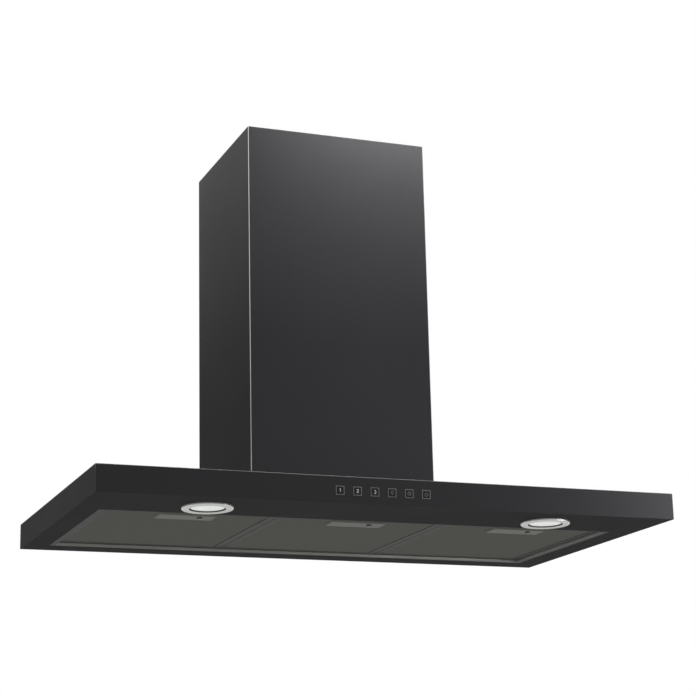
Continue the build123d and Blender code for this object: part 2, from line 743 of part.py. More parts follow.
with BuildPart() as blower_box:
    with BuildSketch(Plane.XY.offset(canopy_height)):
        Rectangle(box_width, box_depth, align=(Align.CENTER, Align.MAX))
    extrude(amount=box_height)
    with BuildSketch(Plane.XY.offset(canopy_height)):
        with Locations((0, -box_sheet)):
            Rectangle(box_width - 2 * box_sheet, box_depth, align=(Align.CENTER, Align.MAX))
    extrude(amount=box_height - box_sheet, mode=Mode.SUBTRACT)
    with BuildSketch(Plane.XY.offset(canopy_height)):
        with Locations(*[(sx * box_width / 2, 0) for sx in (-1, 1)]):
            Rectangle(2 * box_flange, box_depth, align=(Align.CENTER, Align.MAX))
        Rectangle(box_width, 2 * box_depth, mode=Mode.SUBTRACT)
    extrude(amount=box_sheet)
    with BuildSketch(Plane.XY.offset(box_top - box_sheet)):
        with Locations((0, duct_y)):
            Circle(collar_radius - duct_inset)
            with PolarLocations(collar_screw_circle, collar_screw_count, start_angle=45):
                Circle(screw_hole_radius)
    extrude(amount=box_sheet, mode=Mode.SUBTRACT)
    with BuildSketch(Plane.XY.offset(canopy_height)):
        with Locations(*[p for p in box_screw_places if p[1] > -box_depth]):
            Circle(screw_hole_radius)
    extrude(amount=box_sheet, mode=Mode.SUBTRACT)
    with BuildSketch(Plane.XZ):
        with Locations(*[(sx * hanger_x, hanger_seat_z) for sx in (-1, 1)]):
            Rectangle(window_width, window_height, align=(Align.CENTER, Align.MAX))
        with Locations(*[(sx * lock_hole_x, lock_hole_z) for sx in (-1, 1)]):
            Circle(wall_bolt_radius)
    extrude(amount=box_sheet, mode=Mode.SUBTRACT)
keep(blower_box, "blower_box")

ear_inset = 5.0
ear_depth = 10.0
ear_x = box_width / 2 - 1.5 * box_sheet - screw_gap

with BuildPart() as box_front_panel:
    with BuildSketch(Plane.XZ.offset(box_depth)):
        with Locations((0, canopy_height)):
            Rectangle(box_width, box_height, align=(Align.CENTER, Align.MIN))
    extrude(amount=box_sheet)
    with BuildSketch(Plane.XY.offset(canopy_height)):
        with Locations((0, -box_depth - box_sheet)):
            Rectangle(box_width, box_flange, align=(Align.CENTER, Align.MAX))
        with Locations(*[p for p in box_screw_places if p[1] < -box_depth]):
            Circle(screw_hole_radius, mode=Mode.SUBTRACT)
    extrude(amount=box_sheet)
    with BuildSketch(Plane.XZ.offset(box_depth)):
        with Locations(*[(sx * ear_x, canopy_height + ear_inset) for sx in (-1, 1)]):
            Rectangle(box_sheet, box_height - 2 * ear_inset, align=(Align.CENTER, Align.MIN))
    extrude(amount=-ear_depth)
keep(box_front_panel, "box_front_panel")

hook_front = -box_sheet - wall_gap - hanger_thickness
hanger_foot_z = hanger_seat_z - window_height + hanger_foot_gap

with BuildPart() as wall_hangers:
    for side in (-1, 1):
        hanger_left = side * hanger_x - hanger_width / 2
        with BuildSketch(Plane.YZ.offset(hanger_left)):
            with BuildLine():
                Polyline(
                    (0, hanger_seat_z - seat_gap),
                    (0, hanger_foot_z),
                    (-hanger_thickness, hanger_foot_z),
                    (-hanger_thickness, hanger_seat_z - hook_height - hook_slope),
                    (hook_front, hanger_seat_z - hook_height),
                    (hook_front, hanger_seat_z + hook_height),
                    (hook_front + hanger_thickness, hanger_seat_z + hook_height),
                    (hook_front + hanger_thickness, hanger_seat_z - seat_gap),
                    (0, hanger_seat_z - seat_gap),
                )
            make_face()
        extrude(amount=hanger_width)
    with BuildSketch(Plane.XZ):
        with Locations(*[(sx * hanger_x, hanger_seat_z - hanger_bolt_drop) for sx in (-1, 1)]):
            Circle(wall_bolt_radius)
    extrude(amount=2 * hanger_thickness, mode=Mode.SUBTRACT)
keep(wall_hangers, "wall_hangers")

# ---------------------------------------------------------------- fan
# The scroll is the four-centre construction: three quarter arcs whose radii grow by one step
# each, drawn from the corners of a small square round the shaft, then straight to the outlet.
half_step = scroll_step / 2
first_radius = wheel_radius + scroll_gap + half_step
scroll_top = (-half_step, first_radius - half_step)
scroll_left = (-half_step - first_radius, -half_step)
scroll_bottom = (half_step, -half_step - first_radius - scroll_step)
scroll_right = (half_step + first_radius + 2 * scroll_step, half_step)
outlet_z = shaft_z + scroll_outlet_height


def scroll_face(grow):
    """The air passage's outline round the shaft, or the same grown outwards."""
    with BuildSketch(mode=Mode.PRIVATE) as face:
        with BuildLine():
            RadiusArc(scroll_top, scroll_left, -first_radius)
            RadiusArc(scroll_left, scroll_bottom, -(first_radius + scroll_step))
            RadiusArc(scroll_bottom, scroll_right, -(first_radius + 2 * scroll_step))
            Polyline(
                scroll_right,
                (scroll_right[0], scroll_outlet_height + 2 * scroll_wall),
                (scroll_tongue, scroll_outlet_height + 2 * scroll_wall),
                (scroll_tongue, scroll_top[1]),
                scroll_top,
            )
        make_face()
        if grow:
            offset(amount=grow, kind=Kind.INTERSECTION)
    return face.sketch


def build_scroll(name, side):
    """One moulded half of the scroll, split at the wheel's middle plane, with its bell mouth."""
    middle = Plane(origin=(0, shaft_y, shaft_z), x_dir=(0, 1, 0), z_dir=(1, 0, 0))
    wall_x = side * scroll_half_width
    bell_inner_x = wall_x + side * (bell_depth - scroll_wall)
    with BuildPart() as half:
        with BuildSketch(middle):
            add(scroll_face(scroll_wall))
        extrude(amount=side * (scroll_half_width + scroll_wall))
        with BuildSketch(middle):
            add(scroll_face(scroll_wall + scroll_flange))
        extrude(amount=side * scroll_wall)
        with BuildSketch(middle):
            add(scroll_face(0))
        extrude(amount=wall_x, mode=Mode.SUBTRACT)
        with BuildSketch(middle):
            Circle(inlet_radius + bell_lip - 1.0)
        extrude(amount=side * (scroll_half_width + scroll_wall), mode=Mode.SUBTRACT)
        with BuildSketch(Plane(origin=(0, shaft_y, shaft_z), x_dir=(1, 0, 0), z_dir=(0, -1, 0))):
            with BuildLine():
                bell_start = (wall_x, inlet_radius + bell_lip)
                Line(bell_start, (wall_x, inlet_radius))
                ThreePointArc((wall_x, inlet_radius),
                              (wall_x + side * 0.56 * bell_depth, inlet_radius + 0.27 * bell_lip),
                              (wall_x + side * bell_depth, inlet_radius + bell_lip))
                Line((wall_x + side * bell_depth, inlet_radius + bell_lip),
                     (bell_inner_x, inlet_radius + bell_lip))
                ThreePointArc((bell_inner_x, inlet_radius + bell_lip),
                              (wall_x + side * 0.52 * bell_depth, inlet_radius + 0.63 * bell_lip),
                              (wall_x + side * scroll_wall, inlet_radius + bell_lip / 2))
                Polyline((wall_x + side * scroll_wall, inlet_radius + bell_lip / 2),
                         (wall_x + side * scroll_wall, inlet_radius + bell_lip), bell_start)
            make_face()
        revolve(axis=Axis((0, shaft_y, shaft_z), (1, 0, 0)))
        split(bisect_by=Plane(origin=(0, 0, outlet_z), z_dir=(0, 0, 1)), keep=Keep.BOTTOM)
    keep(half, name)


build_scroll("volute_left", -1)
build_scroll("volute_right", 1)

outlet_near_y = shaft_y + scroll_tongue
outlet_far_y = shaft_y + scroll_right[0]
outlet_mid_y = (outlet_near_y + outlet_far_y) / 2
outlet_span_y = outlet_far_y - outlet_near_y
duct_flange = 1.5
duct_corner = 6.0
duct_step = 1.0              # duct's bore inside the collar's
duct_bore = collar_radius - collar_wall - duct_step
duct_top = box_top - box_sheet - duct_flange

with BuildPart() as outlet_duct:
    with BuildSketch(Plane.XY.offset(outlet_z)):
        with Locations((0, outlet_mid_y)):
            RectangleRounded(2 * (scroll_half_width + scroll_wall), outlet_span_y + 2 * scroll_wall,
                             duct_corner + scroll_wall)
    with BuildSketch(Plane.XY.offset(duct_top)):
        with Locations((0, duct_y)):
            Circle(collar_radius - duct_inset)
    loft()
    with BuildSketch(Plane.XY.offset(duct_top)):
        with Locations((0, duct_y)):
            Circle(collar_flange_radius)
            with PolarLocations(collar_screw_circle, collar_screw_count, start_angle=45):
                Circle(screw_hole_radius, mode=Mode.SUBTRACT)
    extrude(amount=duct_flange)
    with BuildSketch(Plane.XY.offset(outlet_z)):
        with Locations((0, outlet_mid_y)):
            RectangleRounded(2 * scroll_half_width, outlet_span_y, duct_corner)
    with BuildSketch(Plane.XY.offset(duct_top)):
        with Locations((0, duct_y)):
            Circle(duct_bore)
    loft(mode=Mode.SUBTRACT)
    with BuildSketch(Plane.XY.offset(duct_top)):
        with Locations((0, duct_y)):
            Circle(duct_bore)
    extrude(amount=duct_flange, mode=Mode.SUBTRACT)
keep(outlet_duct, "outlet_duct")

wheel_plane = Plane(origin=(0, shaft_y, shaft_z), x_dir=(0, 1, 0), z_dir=(1, 0, 0))
blade_root = wheel_radius - blade_chord
blade_sweep = 8.0            # degrees from a blade's root to its tip
blade_bulge = 2.6            # degrees that its hollow lies behind the chord
blade_width = 0.9            # degrees of blade thickness
blade_tip_inset = 0.5


def polar(radius, degrees):
    """Point at a radius and an angle round the shaft."""
    return (radius * cos(radians(degrees)), radius * sin(radians(degrees)))


blade_tip = wheel_radius - blade_tip_inset
blade_middle = blade_root + blade_chord / 2
blade_hollow = blade_sweep / 2 - blade_bulge
with BuildSketch(mode=Mode.PRIVATE) as blade:
    with BuildLine():
        ThreePointArc(polar(blade_root, 0),
                      polar(blade_middle, blade_hollow),
                      polar(blade_tip, blade_sweep))
        Line(polar(blade_tip, blade_sweep), polar(blade_tip, blade_sweep + blade_width))
        ThreePointArc(polar(blade_tip, blade_sweep + blade_width),
                      polar(blade_middle, blade_hollow + blade_width),
                      polar(blade_root, blade_width))
        Line(polar(blade_root, blade_width), polar(blade_root, 0))
    make_face()

with BuildPart() as impeller:
    with BuildSketch(wheel_plane.offset(-wheel_sheet / 2)):
        Circle(wheel_radius)
    extrude(amount=wheel_sheet)
    with BuildSketch(wheel_plane.offset(-hub_half_length)):
        Circle(hub_radius)
    extrude(amount=2 * hub_half_length)
    with BuildSketch(wheel_plane.offset(-wheel_half_width + wheel_sheet / 2)):
        with PolarLocations(0.0, blade_count):
            add(blade.sketch)
    extrude(amount=2 * wheel_half_width - wheel_sheet)
    with BuildSketch(wheel_plane.offset(-wheel_half_width),
                     wheel_plane.offset(wheel_half_width - wheel_sheet)):
        Circle(wheel_radius)
        Circle(blade_root, mode=Mode.SUBTRACT)
    extrude(amount=wheel_sheet)
    with BuildSketch(wheel_plane.offset(-hub_half_length)):
        Circle(shaft_radius + shaft_press_gap)
    extrude(amount=2 * hub_half_length, mode=Mode.SUBTRACT)
keep(impeller, "impeller")

motor_front = hub_half_length + motor_front_gap
motor_back = motor_front + motor_length

with BuildPart() as motor_shaft:
    with BuildSketch(wheel_plane.offset(-motor_back - shaft_end)):
        Circle(shaft_radius)
    extrude(amount=motor_back + shaft_end + hub_half_length + shaft_nose)
    chamfer(motor_shaft.edges().filter_by(GeomType.CIRCLE), shaft_chamfer)
keep(motor_shaft, "motor_shaft")

bush_circle = inlet_radius + bush_gap
bush_angles = (30.0, 150.0, 270.0)
motor_seat = motor_radius - motor_seat_inset
bracket_x = -motor_back - bracket_sheet

with BuildPart() as fan_motor:
    with BuildSketch(wheel_plane.offset(-motor_back)):
        Circle(motor_radius)
    extrude(amount=motor_length)
    fillet(fan_motor.edges().filter_by(GeomType.CIRCLE), motor_fillet)
    with BuildSketch(wheel_plane.offset(-motor_front)):
        Circle(motor_boss)
    extrude(amount=motor_boss_height)
    with BuildSketch(wheel_plane.offset(-motor_back + motor_band_rise)):
        Circle(motor_radius + motor_band_proud)
        Circle(motor_seat, mode=Mode.SUBTRACT)
    extrude(amount=motor_band_width)
    with BuildSketch(wheel_plane.offset(-motor_back + motor_slot_rise)):
        with PolarLocations(motor_radius, motor_slot_count):
            Rectangle(2 * motor_slot_depth, motor_slot_width)
    extrude(amount=motor_slot_length, mode=Mode.SUBTRACT)
    with BuildSketch(wheel_plane.offset(-motor_back)):
        Circle(shaft_radius + shaft_fit)
    extrude(amount=motor_length + motor_front_gap, mode=Mode.SUBTRACT)
keep(fan_motor, "fan_motor")

with BuildPart() as motor_bracket:
    with BuildSketch(wheel_plane.offset(bracket_x)):
        Circle(motor_seat)
        for angle in bush_angles:
            with Locations(Location((*polar(bush_circle / 2, angle), 0), (0, 0, angle))):
                Rectangle(bush_circle, bracket_arm_width)
            with Locations(polar(bush_circle, angle)):
                Circle(bracket_arm_width / 2)
        Circle(motor_boss, mode=Mode.SUBTRACT)
        with Locations(*[polar(bush_circle, angle) for angle in bush_angles]):
            Circle(screw_hole_radius, mode=Mode.SUBTRACT)
    extrude(amount=bracket_sheet)
keep(motor_bracket, "motor_bracket")

with BuildPart() as motor_bushes:
    with BuildSketch(wheel_plane.offset(bracket_x + bracket_sheet)):
        with Locations(*[polar(bush_circle, angle) for angle in bush_angles]):
            Circle(bush_radius)
            Circle(screw_hole_radius, mode=Mode.SUBTRACT)
    extrude(amount=-bracket_x - bracket_sheet - scroll_half_width - scroll_wall)
keep(motor_bushes, "motor_bushes")

capacitor_x = box_width / 2 - box_sheet - capacitor_radius - capacitor_gap
capacitor_place = (capacitor_x, -capacitor_setback)
clamp_z = canopy_height + capacitor_rise + capacitor_length / 3

with BuildPart() as capacitor:
    with BuildSketch(Plane.XY.offset(canopy_height + capacitor_rise)):
        with Locations(capacitor_place):
            Circle(capacitor_radius)
    extrude(amount=capacitor_length)
    fillet(capacitor.edges().filter_by(GeomType.CIRCLE), capacitor_round)
    with BuildSketch(Plane.XY.offset(clamp_z)):
        with Locations(capacitor_place):
            Circle(capacitor_radius + capacitor_band)
            with Locations((capacitor_radius, 0)):
                Rectangle(capacitor_band + capacitor_gap, 2 * capacitor_radius + capacitor_clamp)
    extrude(amount=capacitor_clamp)
keep(capacitor, "capacitor")

# ---------------------------------------------------------------- outlet collar and flaps
collar_bore = collar_radius - collar_wall
collar_base = box_top + collar_flange_thickness
ledge_top = box_top + ledge_rise
flap_axis_z = ledge_top + seat_gap + flap_thickness / 2
bar_top = flap_axis_z - flap_barrel_radius - flap_bar_gap
bar_half = flap_axis_offset + flap_barrel_radius + 2 * flap_bar_gap

with BuildPart() as outlet_collar:
    with BuildSketch(Plane.XY.offset(box_top)):
        with Locations((0, duct_y)):
            Circle(collar_flange_radius)
            with PolarLocations(collar_screw_circle, collar_screw_count, start_angle=45):
                Circle(screw_hole_radius, mode=Mode.SUBTRACT)
    extrude(amount=collar_flange_thickness)
    with BuildSketch(Plane.XY.offset(box_top)):
        with Locations((0, duct_y)):
            Circle(collar_radius)
    extrude(amount=collar_height)
    lip = outlet_collar.edges().filter_by(GeomType.CIRCLE).sort_by(Axis.Z)[-1]
    chamfer(lip, collar_lip)
    with BuildSketch(Plane.XY.offset(box_top)):
        with Locations((0, duct_y)):
            Circle(collar_bore)
    extrude(amount=collar_height, mode=Mode.SUBTRACT)
    with BuildSketch(Plane.XY.offset(ledge_top - ledge_thickness)):
        with Locations((0, duct_y)):
            Circle(collar_bore)
            Circle(collar_bore - ledge_width, mode=Mode.SUBTRACT)
            Rectangle(2 * collar_radius, 2 * bar_half, mode=Mode.SUBTRACT)
    extrude(amount=ledge_thickness)
    with BuildSketch(Plane.XY.offset(box_top + flap_bar_rise)):
        with Locations((0, duct_y)):
            Rectangle(2 * collar_bore + collar_wall, 2 * bar_half)
    extrude(amount=bar_top - box_top - flap_bar_rise)
    for side in (-1, 1):
        with BuildSketch(Plane.YZ.offset(-collar_radius)):
            with Locations((duct_y + side * flap_axis_offset, flap_axis_z)):
                Circle(flap_pin_radius + shaft_fit)
        extrude(amount=2 * collar_radius, mode=Mode.SUBTRACT)
keep(outlet_collar, "outlet_collar")


def build_flap(name, side):
    """One half-moon non-return flap with its hinge barrel and two pins."""
    axis_y = duct_y + side * flap_axis_offset
    with BuildPart() as flap:
        with BuildSketch(Plane.XY.offset(flap_axis_z - flap_thickness / 2)):
            with Locations((0, duct_y)):
                Circle(collar_bore - flap_gap)
                with Locations((0, side * flap_axis_offset)):
                    Rectangle(2 * collar_radius, 2 * collar_radius,
                              align=(Align.CENTER, Align.MAX if side > 0 else Align.MIN),
                              mode=Mode.SUBTRACT)
        extrude(amount=flap_thickness)
        with BuildSketch(Plane.YZ.offset(-collar_bore + flap_barrel_gap)):
            with Locations((axis_y, flap_axis_z)):
                Circle(flap_barrel_radius)
        extrude(amount=2 * (collar_bore - flap_barrel_gap))
        with BuildSketch(Plane.YZ.offset(-collar_bore - flap_pin_length)):
            with Locations((axis_y, flap_axis_z)):
                Circle(flap_pin_radius)
        extrude(amount=2 * (collar_bore + flap_pin_length))
    keep(flap, name)


build_flap("flap_front", -1)
build_flap("flap_rear", 1)

# ---------------------------------------------------------------- power electronics
unit_thickness = box_side_gap - unit_clearance
unit_y = -unit_setback
unit_z = box_top - unit_height - unit_drop
gland_spigot = gland_bore + gland_wall
unit_x = -box_width / 2 - unit_thickness / 2

with BuildPart() as control_unit:
    with BuildSketch(Plane.XY.offset(unit_z)) as unit_base:
        with Locations((unit_x, unit_y)):
            Rectangle(unit_thickness, unit_depth)
        fillet(unit_base.vertices().group_by(Axis.X)[0], unit_corner)
    extrude(amount=unit_height)
    with BuildSketch(Plane.XY.offset(unit_z + unit_wall)):
        with Locations((unit_x + unit_wall, unit_y)):
            Rectangle(unit_thickness, unit_depth - 2 * unit_wall)
    extrude(amount=unit_height - 2 * unit_wall, mode=Mode.SUBTRACT)
    with BuildSketch(Plane.XY.offset(unit_z + unit_height - unit_wall)):
        with Locations((unit_x, unit_y)):
            Circle(gland_spigot + screw_gap)
    extrude(amount=unit_wall, mode=Mode.SUBTRACT)
keep(control_unit, "control_unit")

with BuildPart() as cable_gland:
    with BuildSketch(Plane.XY.offset(unit_z + unit_height)):
        with Locations((unit_x, unit_y)):
            RegularPolygon(gland_radius, 6)
    extrude(amount=gland_nut_height)
    with BuildSketch(Plane.XY.offset(unit_z + unit_height + gland_nut_height)):
        with Locations((unit_x, unit_y)):
            Circle(gland_radius - gland_step)
    extrude(amount=gland_length - gland_nut_height - gland_spigot_length)
    fillet(cable_gland.edges().filter_by(GeomType.CIRCLE).sort_by(Axis.Z)[-1], gland_round)
    with BuildSketch(Plane.XY.offset(unit_z + unit_height)):
        with Locations((unit_x, unit_y)):
            Circle(gland_spigot)
    extrude(amount=-gland_spigot_length)
    with BuildSketch(Plane.XY.offset(unit_z + unit_height - gland_spigot_length)):
        with Locations((unit_x, unit_y)):
            Circle(gland_bore)
    extrude(amount=gland_length, mode=Mode.SUBTRACT)
keep(cable_gland, "cable_gland")

# ---------------------------------------------------------------- chimney
# Two nested U-shaped covers, open at the wall; the inner one slides up to the ceiling.


def chimney_profile(width, depth, back):
    """U-section of folded sheet with two return flanges against the wall."""
    with BuildSketch(mode=Mode.PRIVATE) as profile:
        with Locations((0, -back)):
            Rectangle(width, depth, align=(Align.CENTER, Align.MAX))
        fillet(profile.vertices().group_by(Axis.Y)[0], chimney_fold)
        with BuildSketch(mode=Mode.PRIVATE) as inside:
            with Locations((0, -back - chimney_sheet)):
                Rectangle(width - 2 * chimney_sheet, depth - 2 * chimney_sheet,
                          align=(Align.CENTER, Align.MAX))
            fillet(inside.vertices().group_by(Axis.Y)[0], chimney_fold - chimney_sheet)
        add(inside.sketch, mode=Mode.SUBTRACT)
        with Locations((0, -back)):
            Rectangle(width - 2 * chimney_flange, 3 * chimney_sheet, mode=Mode.SUBTRACT)
    return profile.sketch


with BuildPart() as lower_chimney:
    with BuildSketch(Plane.XY.offset(canopy_height)):
        add(chimney_profile(chimney_width, chimney_depth, 0.0))
    extrude(amount=chimney_height)
    tab_x = chimney_width / 2 - chimney_sheet
    with BuildSketch(Plane.XY.offset(canopy_height)):
        with Locations(*[(sx * (tab_x - chimney_tab_inset / 2), -chimney_depth / 2) for sx in (-1, 1)]):
            Rectangle(chimney_tab_inset, chimney_tab_length)
        with Locations(*chimney_screw_places):
            Circle(screw_hole_radius, mode=Mode.SUBTRACT)
    extrude(amount=chimney_sheet)
keep(lower_chimney, "lower_chimney")

upper_width = chimney_width - 2 * (chimney_sheet + telescope_gap)
upper_back = chimney_sheet + wall_gap
upper_depth = chimney_depth - chimney_sheet - telescope_gap - upper_back
upper_bottom = canopy_height + chimney_sheet + seat_gap
bracket_z = chimney_top - bracket_height - bracket_drop
arm_outer = upper_width / 2 - chimney_sheet
arm_screw_y = -upper_back - chimney_sheet - bracket_thickness - bracket_arm + bracket_screw_setback
bracket_screw_z = bracket_z + bracket_height / 2

with BuildPart() as upper_chimney:
    with BuildSketch(Plane.XY.offset(upper_bottom)):
        add(chimney_profile(upper_width, upper_depth, upper_back))
    extrude(amount=chimney_top - upper_bottom)
    vent_middle = chimney_top - vent_drop
    with BuildSketch(Plane.YZ.offset(-chimney_width)):
        with Locations((-chimney_depth / 2, vent_middle)):
            with GridLocations(vent_length, vent_pitch, 1, vent_count):
                SlotOverall(vent_length, vent_height)
        with Locations((arm_screw_y, bracket_screw_z)):
            Circle(screw_hole_radius)
    extrude(amount=2 * chimney_width, mode=Mode.SUBTRACT)
keep(upper_chimney, "upper_chimney")

bracket_front = -upper_back - chimney_sheet
bracket_bolt_x = bracket_bolt_spread / 2

with BuildPart() as chimney_bracket:
    with BuildSketch(Plane.XY.offset(bracket_z)):
        with Locations((0, bracket_front)):
            Rectangle(2 * arm_outer, bracket_arm + bracket_thickness, align=(Align.CENTER, Align.MAX))
        with Locations((0, bracket_front - bracket_thickness)):
            Rectangle(2 * (arm_outer - bracket_thickness), bracket_arm, align=(Align.CENTER, Align.MAX),
                      mode=Mode.SUBTRACT)
    extrude(amount=bracket_height)
    with BuildSketch(Plane.XZ):
        with Locations(*[(sx * bracket_bolt_x, bracket_screw_z) for sx in (-1, 1)]):
            Circle(bracket_boss_radius)
    extrude(amount=-bracket_front)
    with BuildSketch(Plane.XZ):
        with Locations(*[(sx * bracket_bolt_x, bracket_screw_z) for sx in (-1, 1)]):
            Circle(wall_bolt_radius)
    extrude(amount=-bracket_front + bracket_thickness, mode=Mode.SUBTRACT)
    with BuildSketch(Plane.YZ.offset(-chimney_width)):
        with Locations((arm_screw_y, bracket_screw_z)):
            Circle(screw_hole_radius)
    extrude(amount=2 * chimney_width, mode=Mode.SUBTRACT)
keep(chimney_bracket, "chimney_bracket")


# ---------------------------------------------------------------- screws
# Pan heads stand on the outer sheet, and the plain shanks pass through both sheets.
box_screw_seat = Plane.XY.offset(canopy_height + box_sheet)
with BuildPart() as box_screws:
    with BuildSketch(box_screw_seat):
        with Locations(*box_screw_places):
            Circle(screw_head_radius)
    extrude(amount=screw_head_height)
    with BuildSketch(box_screw_seat):
        with Locations(*box_screw_places):
            Circle(screw_radius)
    extrude(amount=-screw_length)
keep(box_screws, "box_screws")

chimney_screw_seat = Plane.XY.offset(canopy_height - canopy_sheet)
with BuildPart() as chimney_screws:
    with BuildSketch(chimney_screw_seat):
        with Locations(*chimney_screw_places):
            Circle(screw_head_radius)
    extrude(amount=-screw_head_height)
    with BuildSketch(chimney_screw_seat):
        with Locations(*chimney_screw_places):
            Circle(screw_radius)
    extrude(amount=short_screw_length)
keep(chimney_screws, "chimney_screws")

with BuildPart() as collar_screws:
    with BuildSketch(Plane.XY.offset(collar_base)):
        with Locations((0, duct_y)):
            with PolarLocations(collar_screw_circle, collar_screw_count, start_angle=45):
                Circle(screw_head_radius)
    extrude(amount=screw_head_height)
    with BuildSketch(Plane.XY.offset(collar_base)):
        with Locations((0, duct_y)):
            with PolarLocations(collar_screw_circle, collar_screw_count, start_angle=45):
                Circle(screw_radius)
    extrude(amount=-screw_length)
keep(collar_screws, "collar_screws")

with BuildPart() as bracket_screws:
    for side in (-1, 1):
        arm_face = Plane.YZ.offset(side * (arm_outer - bracket_thickness))
        with BuildSketch(arm_face):
            with Locations((arm_screw_y, bracket_screw_z)):
                Circle(screw_head_radius)
        extrude(amount=-side * screw_head_height)
        with BuildSketch(arm_face):
            with Locations((arm_screw_y, bracket_screw_z)):
                Circle(screw_radius)
        extrude(amount=side * (bracket_thickness + chimney_sheet - 0.1))
keep(bracket_screws, "bracket_screws")
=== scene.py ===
import bpy
import numpy as np
from mathutils import Matrix, Vector


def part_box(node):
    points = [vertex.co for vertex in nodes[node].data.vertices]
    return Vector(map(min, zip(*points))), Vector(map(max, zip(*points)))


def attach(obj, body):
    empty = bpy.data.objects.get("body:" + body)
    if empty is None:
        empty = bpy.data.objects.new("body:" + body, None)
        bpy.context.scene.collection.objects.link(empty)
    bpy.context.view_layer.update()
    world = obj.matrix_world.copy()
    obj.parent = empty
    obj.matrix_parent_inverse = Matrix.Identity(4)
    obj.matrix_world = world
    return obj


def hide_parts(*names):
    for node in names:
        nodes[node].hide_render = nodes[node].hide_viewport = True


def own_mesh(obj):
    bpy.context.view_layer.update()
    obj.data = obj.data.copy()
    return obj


# A black wall-mounted range hood: flat canopy, three mesh filters, two lamps, six push buttons and
# a rectangular telescopic chimney. Lengths are metres, and MM turns millimetres into them.

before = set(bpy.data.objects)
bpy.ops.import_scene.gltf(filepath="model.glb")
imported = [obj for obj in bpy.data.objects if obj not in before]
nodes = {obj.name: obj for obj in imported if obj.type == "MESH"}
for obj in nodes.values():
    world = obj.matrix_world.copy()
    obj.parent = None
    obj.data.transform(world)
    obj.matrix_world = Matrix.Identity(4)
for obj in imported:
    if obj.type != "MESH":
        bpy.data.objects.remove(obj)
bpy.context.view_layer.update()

MM = 0.001
SIDES = ("left", "right")
FILTERS = (1, 2, 3)
BUTTONS = (1, 2, 3, 4, 5, 6)


# ---------------------------------------------------------------- colours and nodes
# Plain noise keeps between about 0.3 and 0.7; a Map Range with these settings spreads it to 0..1.
NOISE_REACH = {"From Min": 0.3, "From Max": 0.7}


def linear(hex_colour):
    """Linear RGBA of an sRGB hex colour: c/12.92 below 0.04045, else ((c + 0.055)/1.055)^2.4."""
    code = hex_colour.lstrip("#")
    channels = [int(code[i:i + 2], 16) / 255 for i in (0, 2, 4)]
    return [c / 12.92 if c <= 0.04045 else ((c + 0.055) / 1.055) ** 2.4 for c in channels] + [1.0]


def join(tree, node, links):
    """Links inputs of a node, by name, to a socket or to the first live output of another node."""
    for name, source in links.items():
        if isinstance(source, bpy.types.Node):
            source = next(output for output in source.outputs if output.enabled)
        tree.links.new(source, node.inputs[name])


def add_node(tree, kind, settings=None, links=None):
    """Adds a node of a kind, sets its properties and its sockets' values, and joins its inputs."""
    node = tree.nodes.new(kind)
    for name, value in (settings or {}).items():
        if isinstance(name, str) and hasattr(node, name):
            setattr(node, name, value)
        else:
            node.inputs[name].default_value = value
    join(tree, node, links or {})
    return node


def new_material(name, **values):
    """A material, its node tree, and its Principled shader with values on the shader's sockets."""
    material = bpy.data.materials.new(name)
    material.use_nodes = True
    tree = material.node_tree
    shader = tree.nodes["Principled BSDF"]
    for socket, value in values.items():
        shader.inputs[socket.replace("_", " ")].default_value = value
    return material, tree, shader


def facing_axes(tree):
    """How squarely a surface faces each of its piece's own axes, either way: |nx|, |ny| and |nz| of
    its normal. The axes turn with the piece, so a filter keeps its finish as it swings."""
    normal = add_node(tree, "ShaderNodeTexCoord").outputs["Normal"]
    size = add_node(tree, "ShaderNodeVectorMath", {"operation": "ABSOLUTE"}, {0: normal})
    return add_node(tree, "ShaderNodeSeparateXYZ", links={"Vector": size}).outputs


def on_folds(tree):
    """0 on a face square to an axis and 1 round a fold between two such faces, where the largest
    of |nx|, |ny| and |nz| falls from 0.95 to 0.85; it is 0.71 in the fold's middle."""
    facing = facing_axes(tree)
    across = add_node(tree, "ShaderNodeMath", {"operation": "MAXIMUM"},
                      {0: facing["X"], 1: facing["Y"]})
    largest = add_node(tree, "ShaderNodeMath", {"operation": "MAXIMUM"},
                       {0: across, 1: facing["Z"]})
    return add_node(tree, "ShaderNodeMapRange", {"From Min": 0.95, "From Max": 0.85},
                    {"Value": largest})


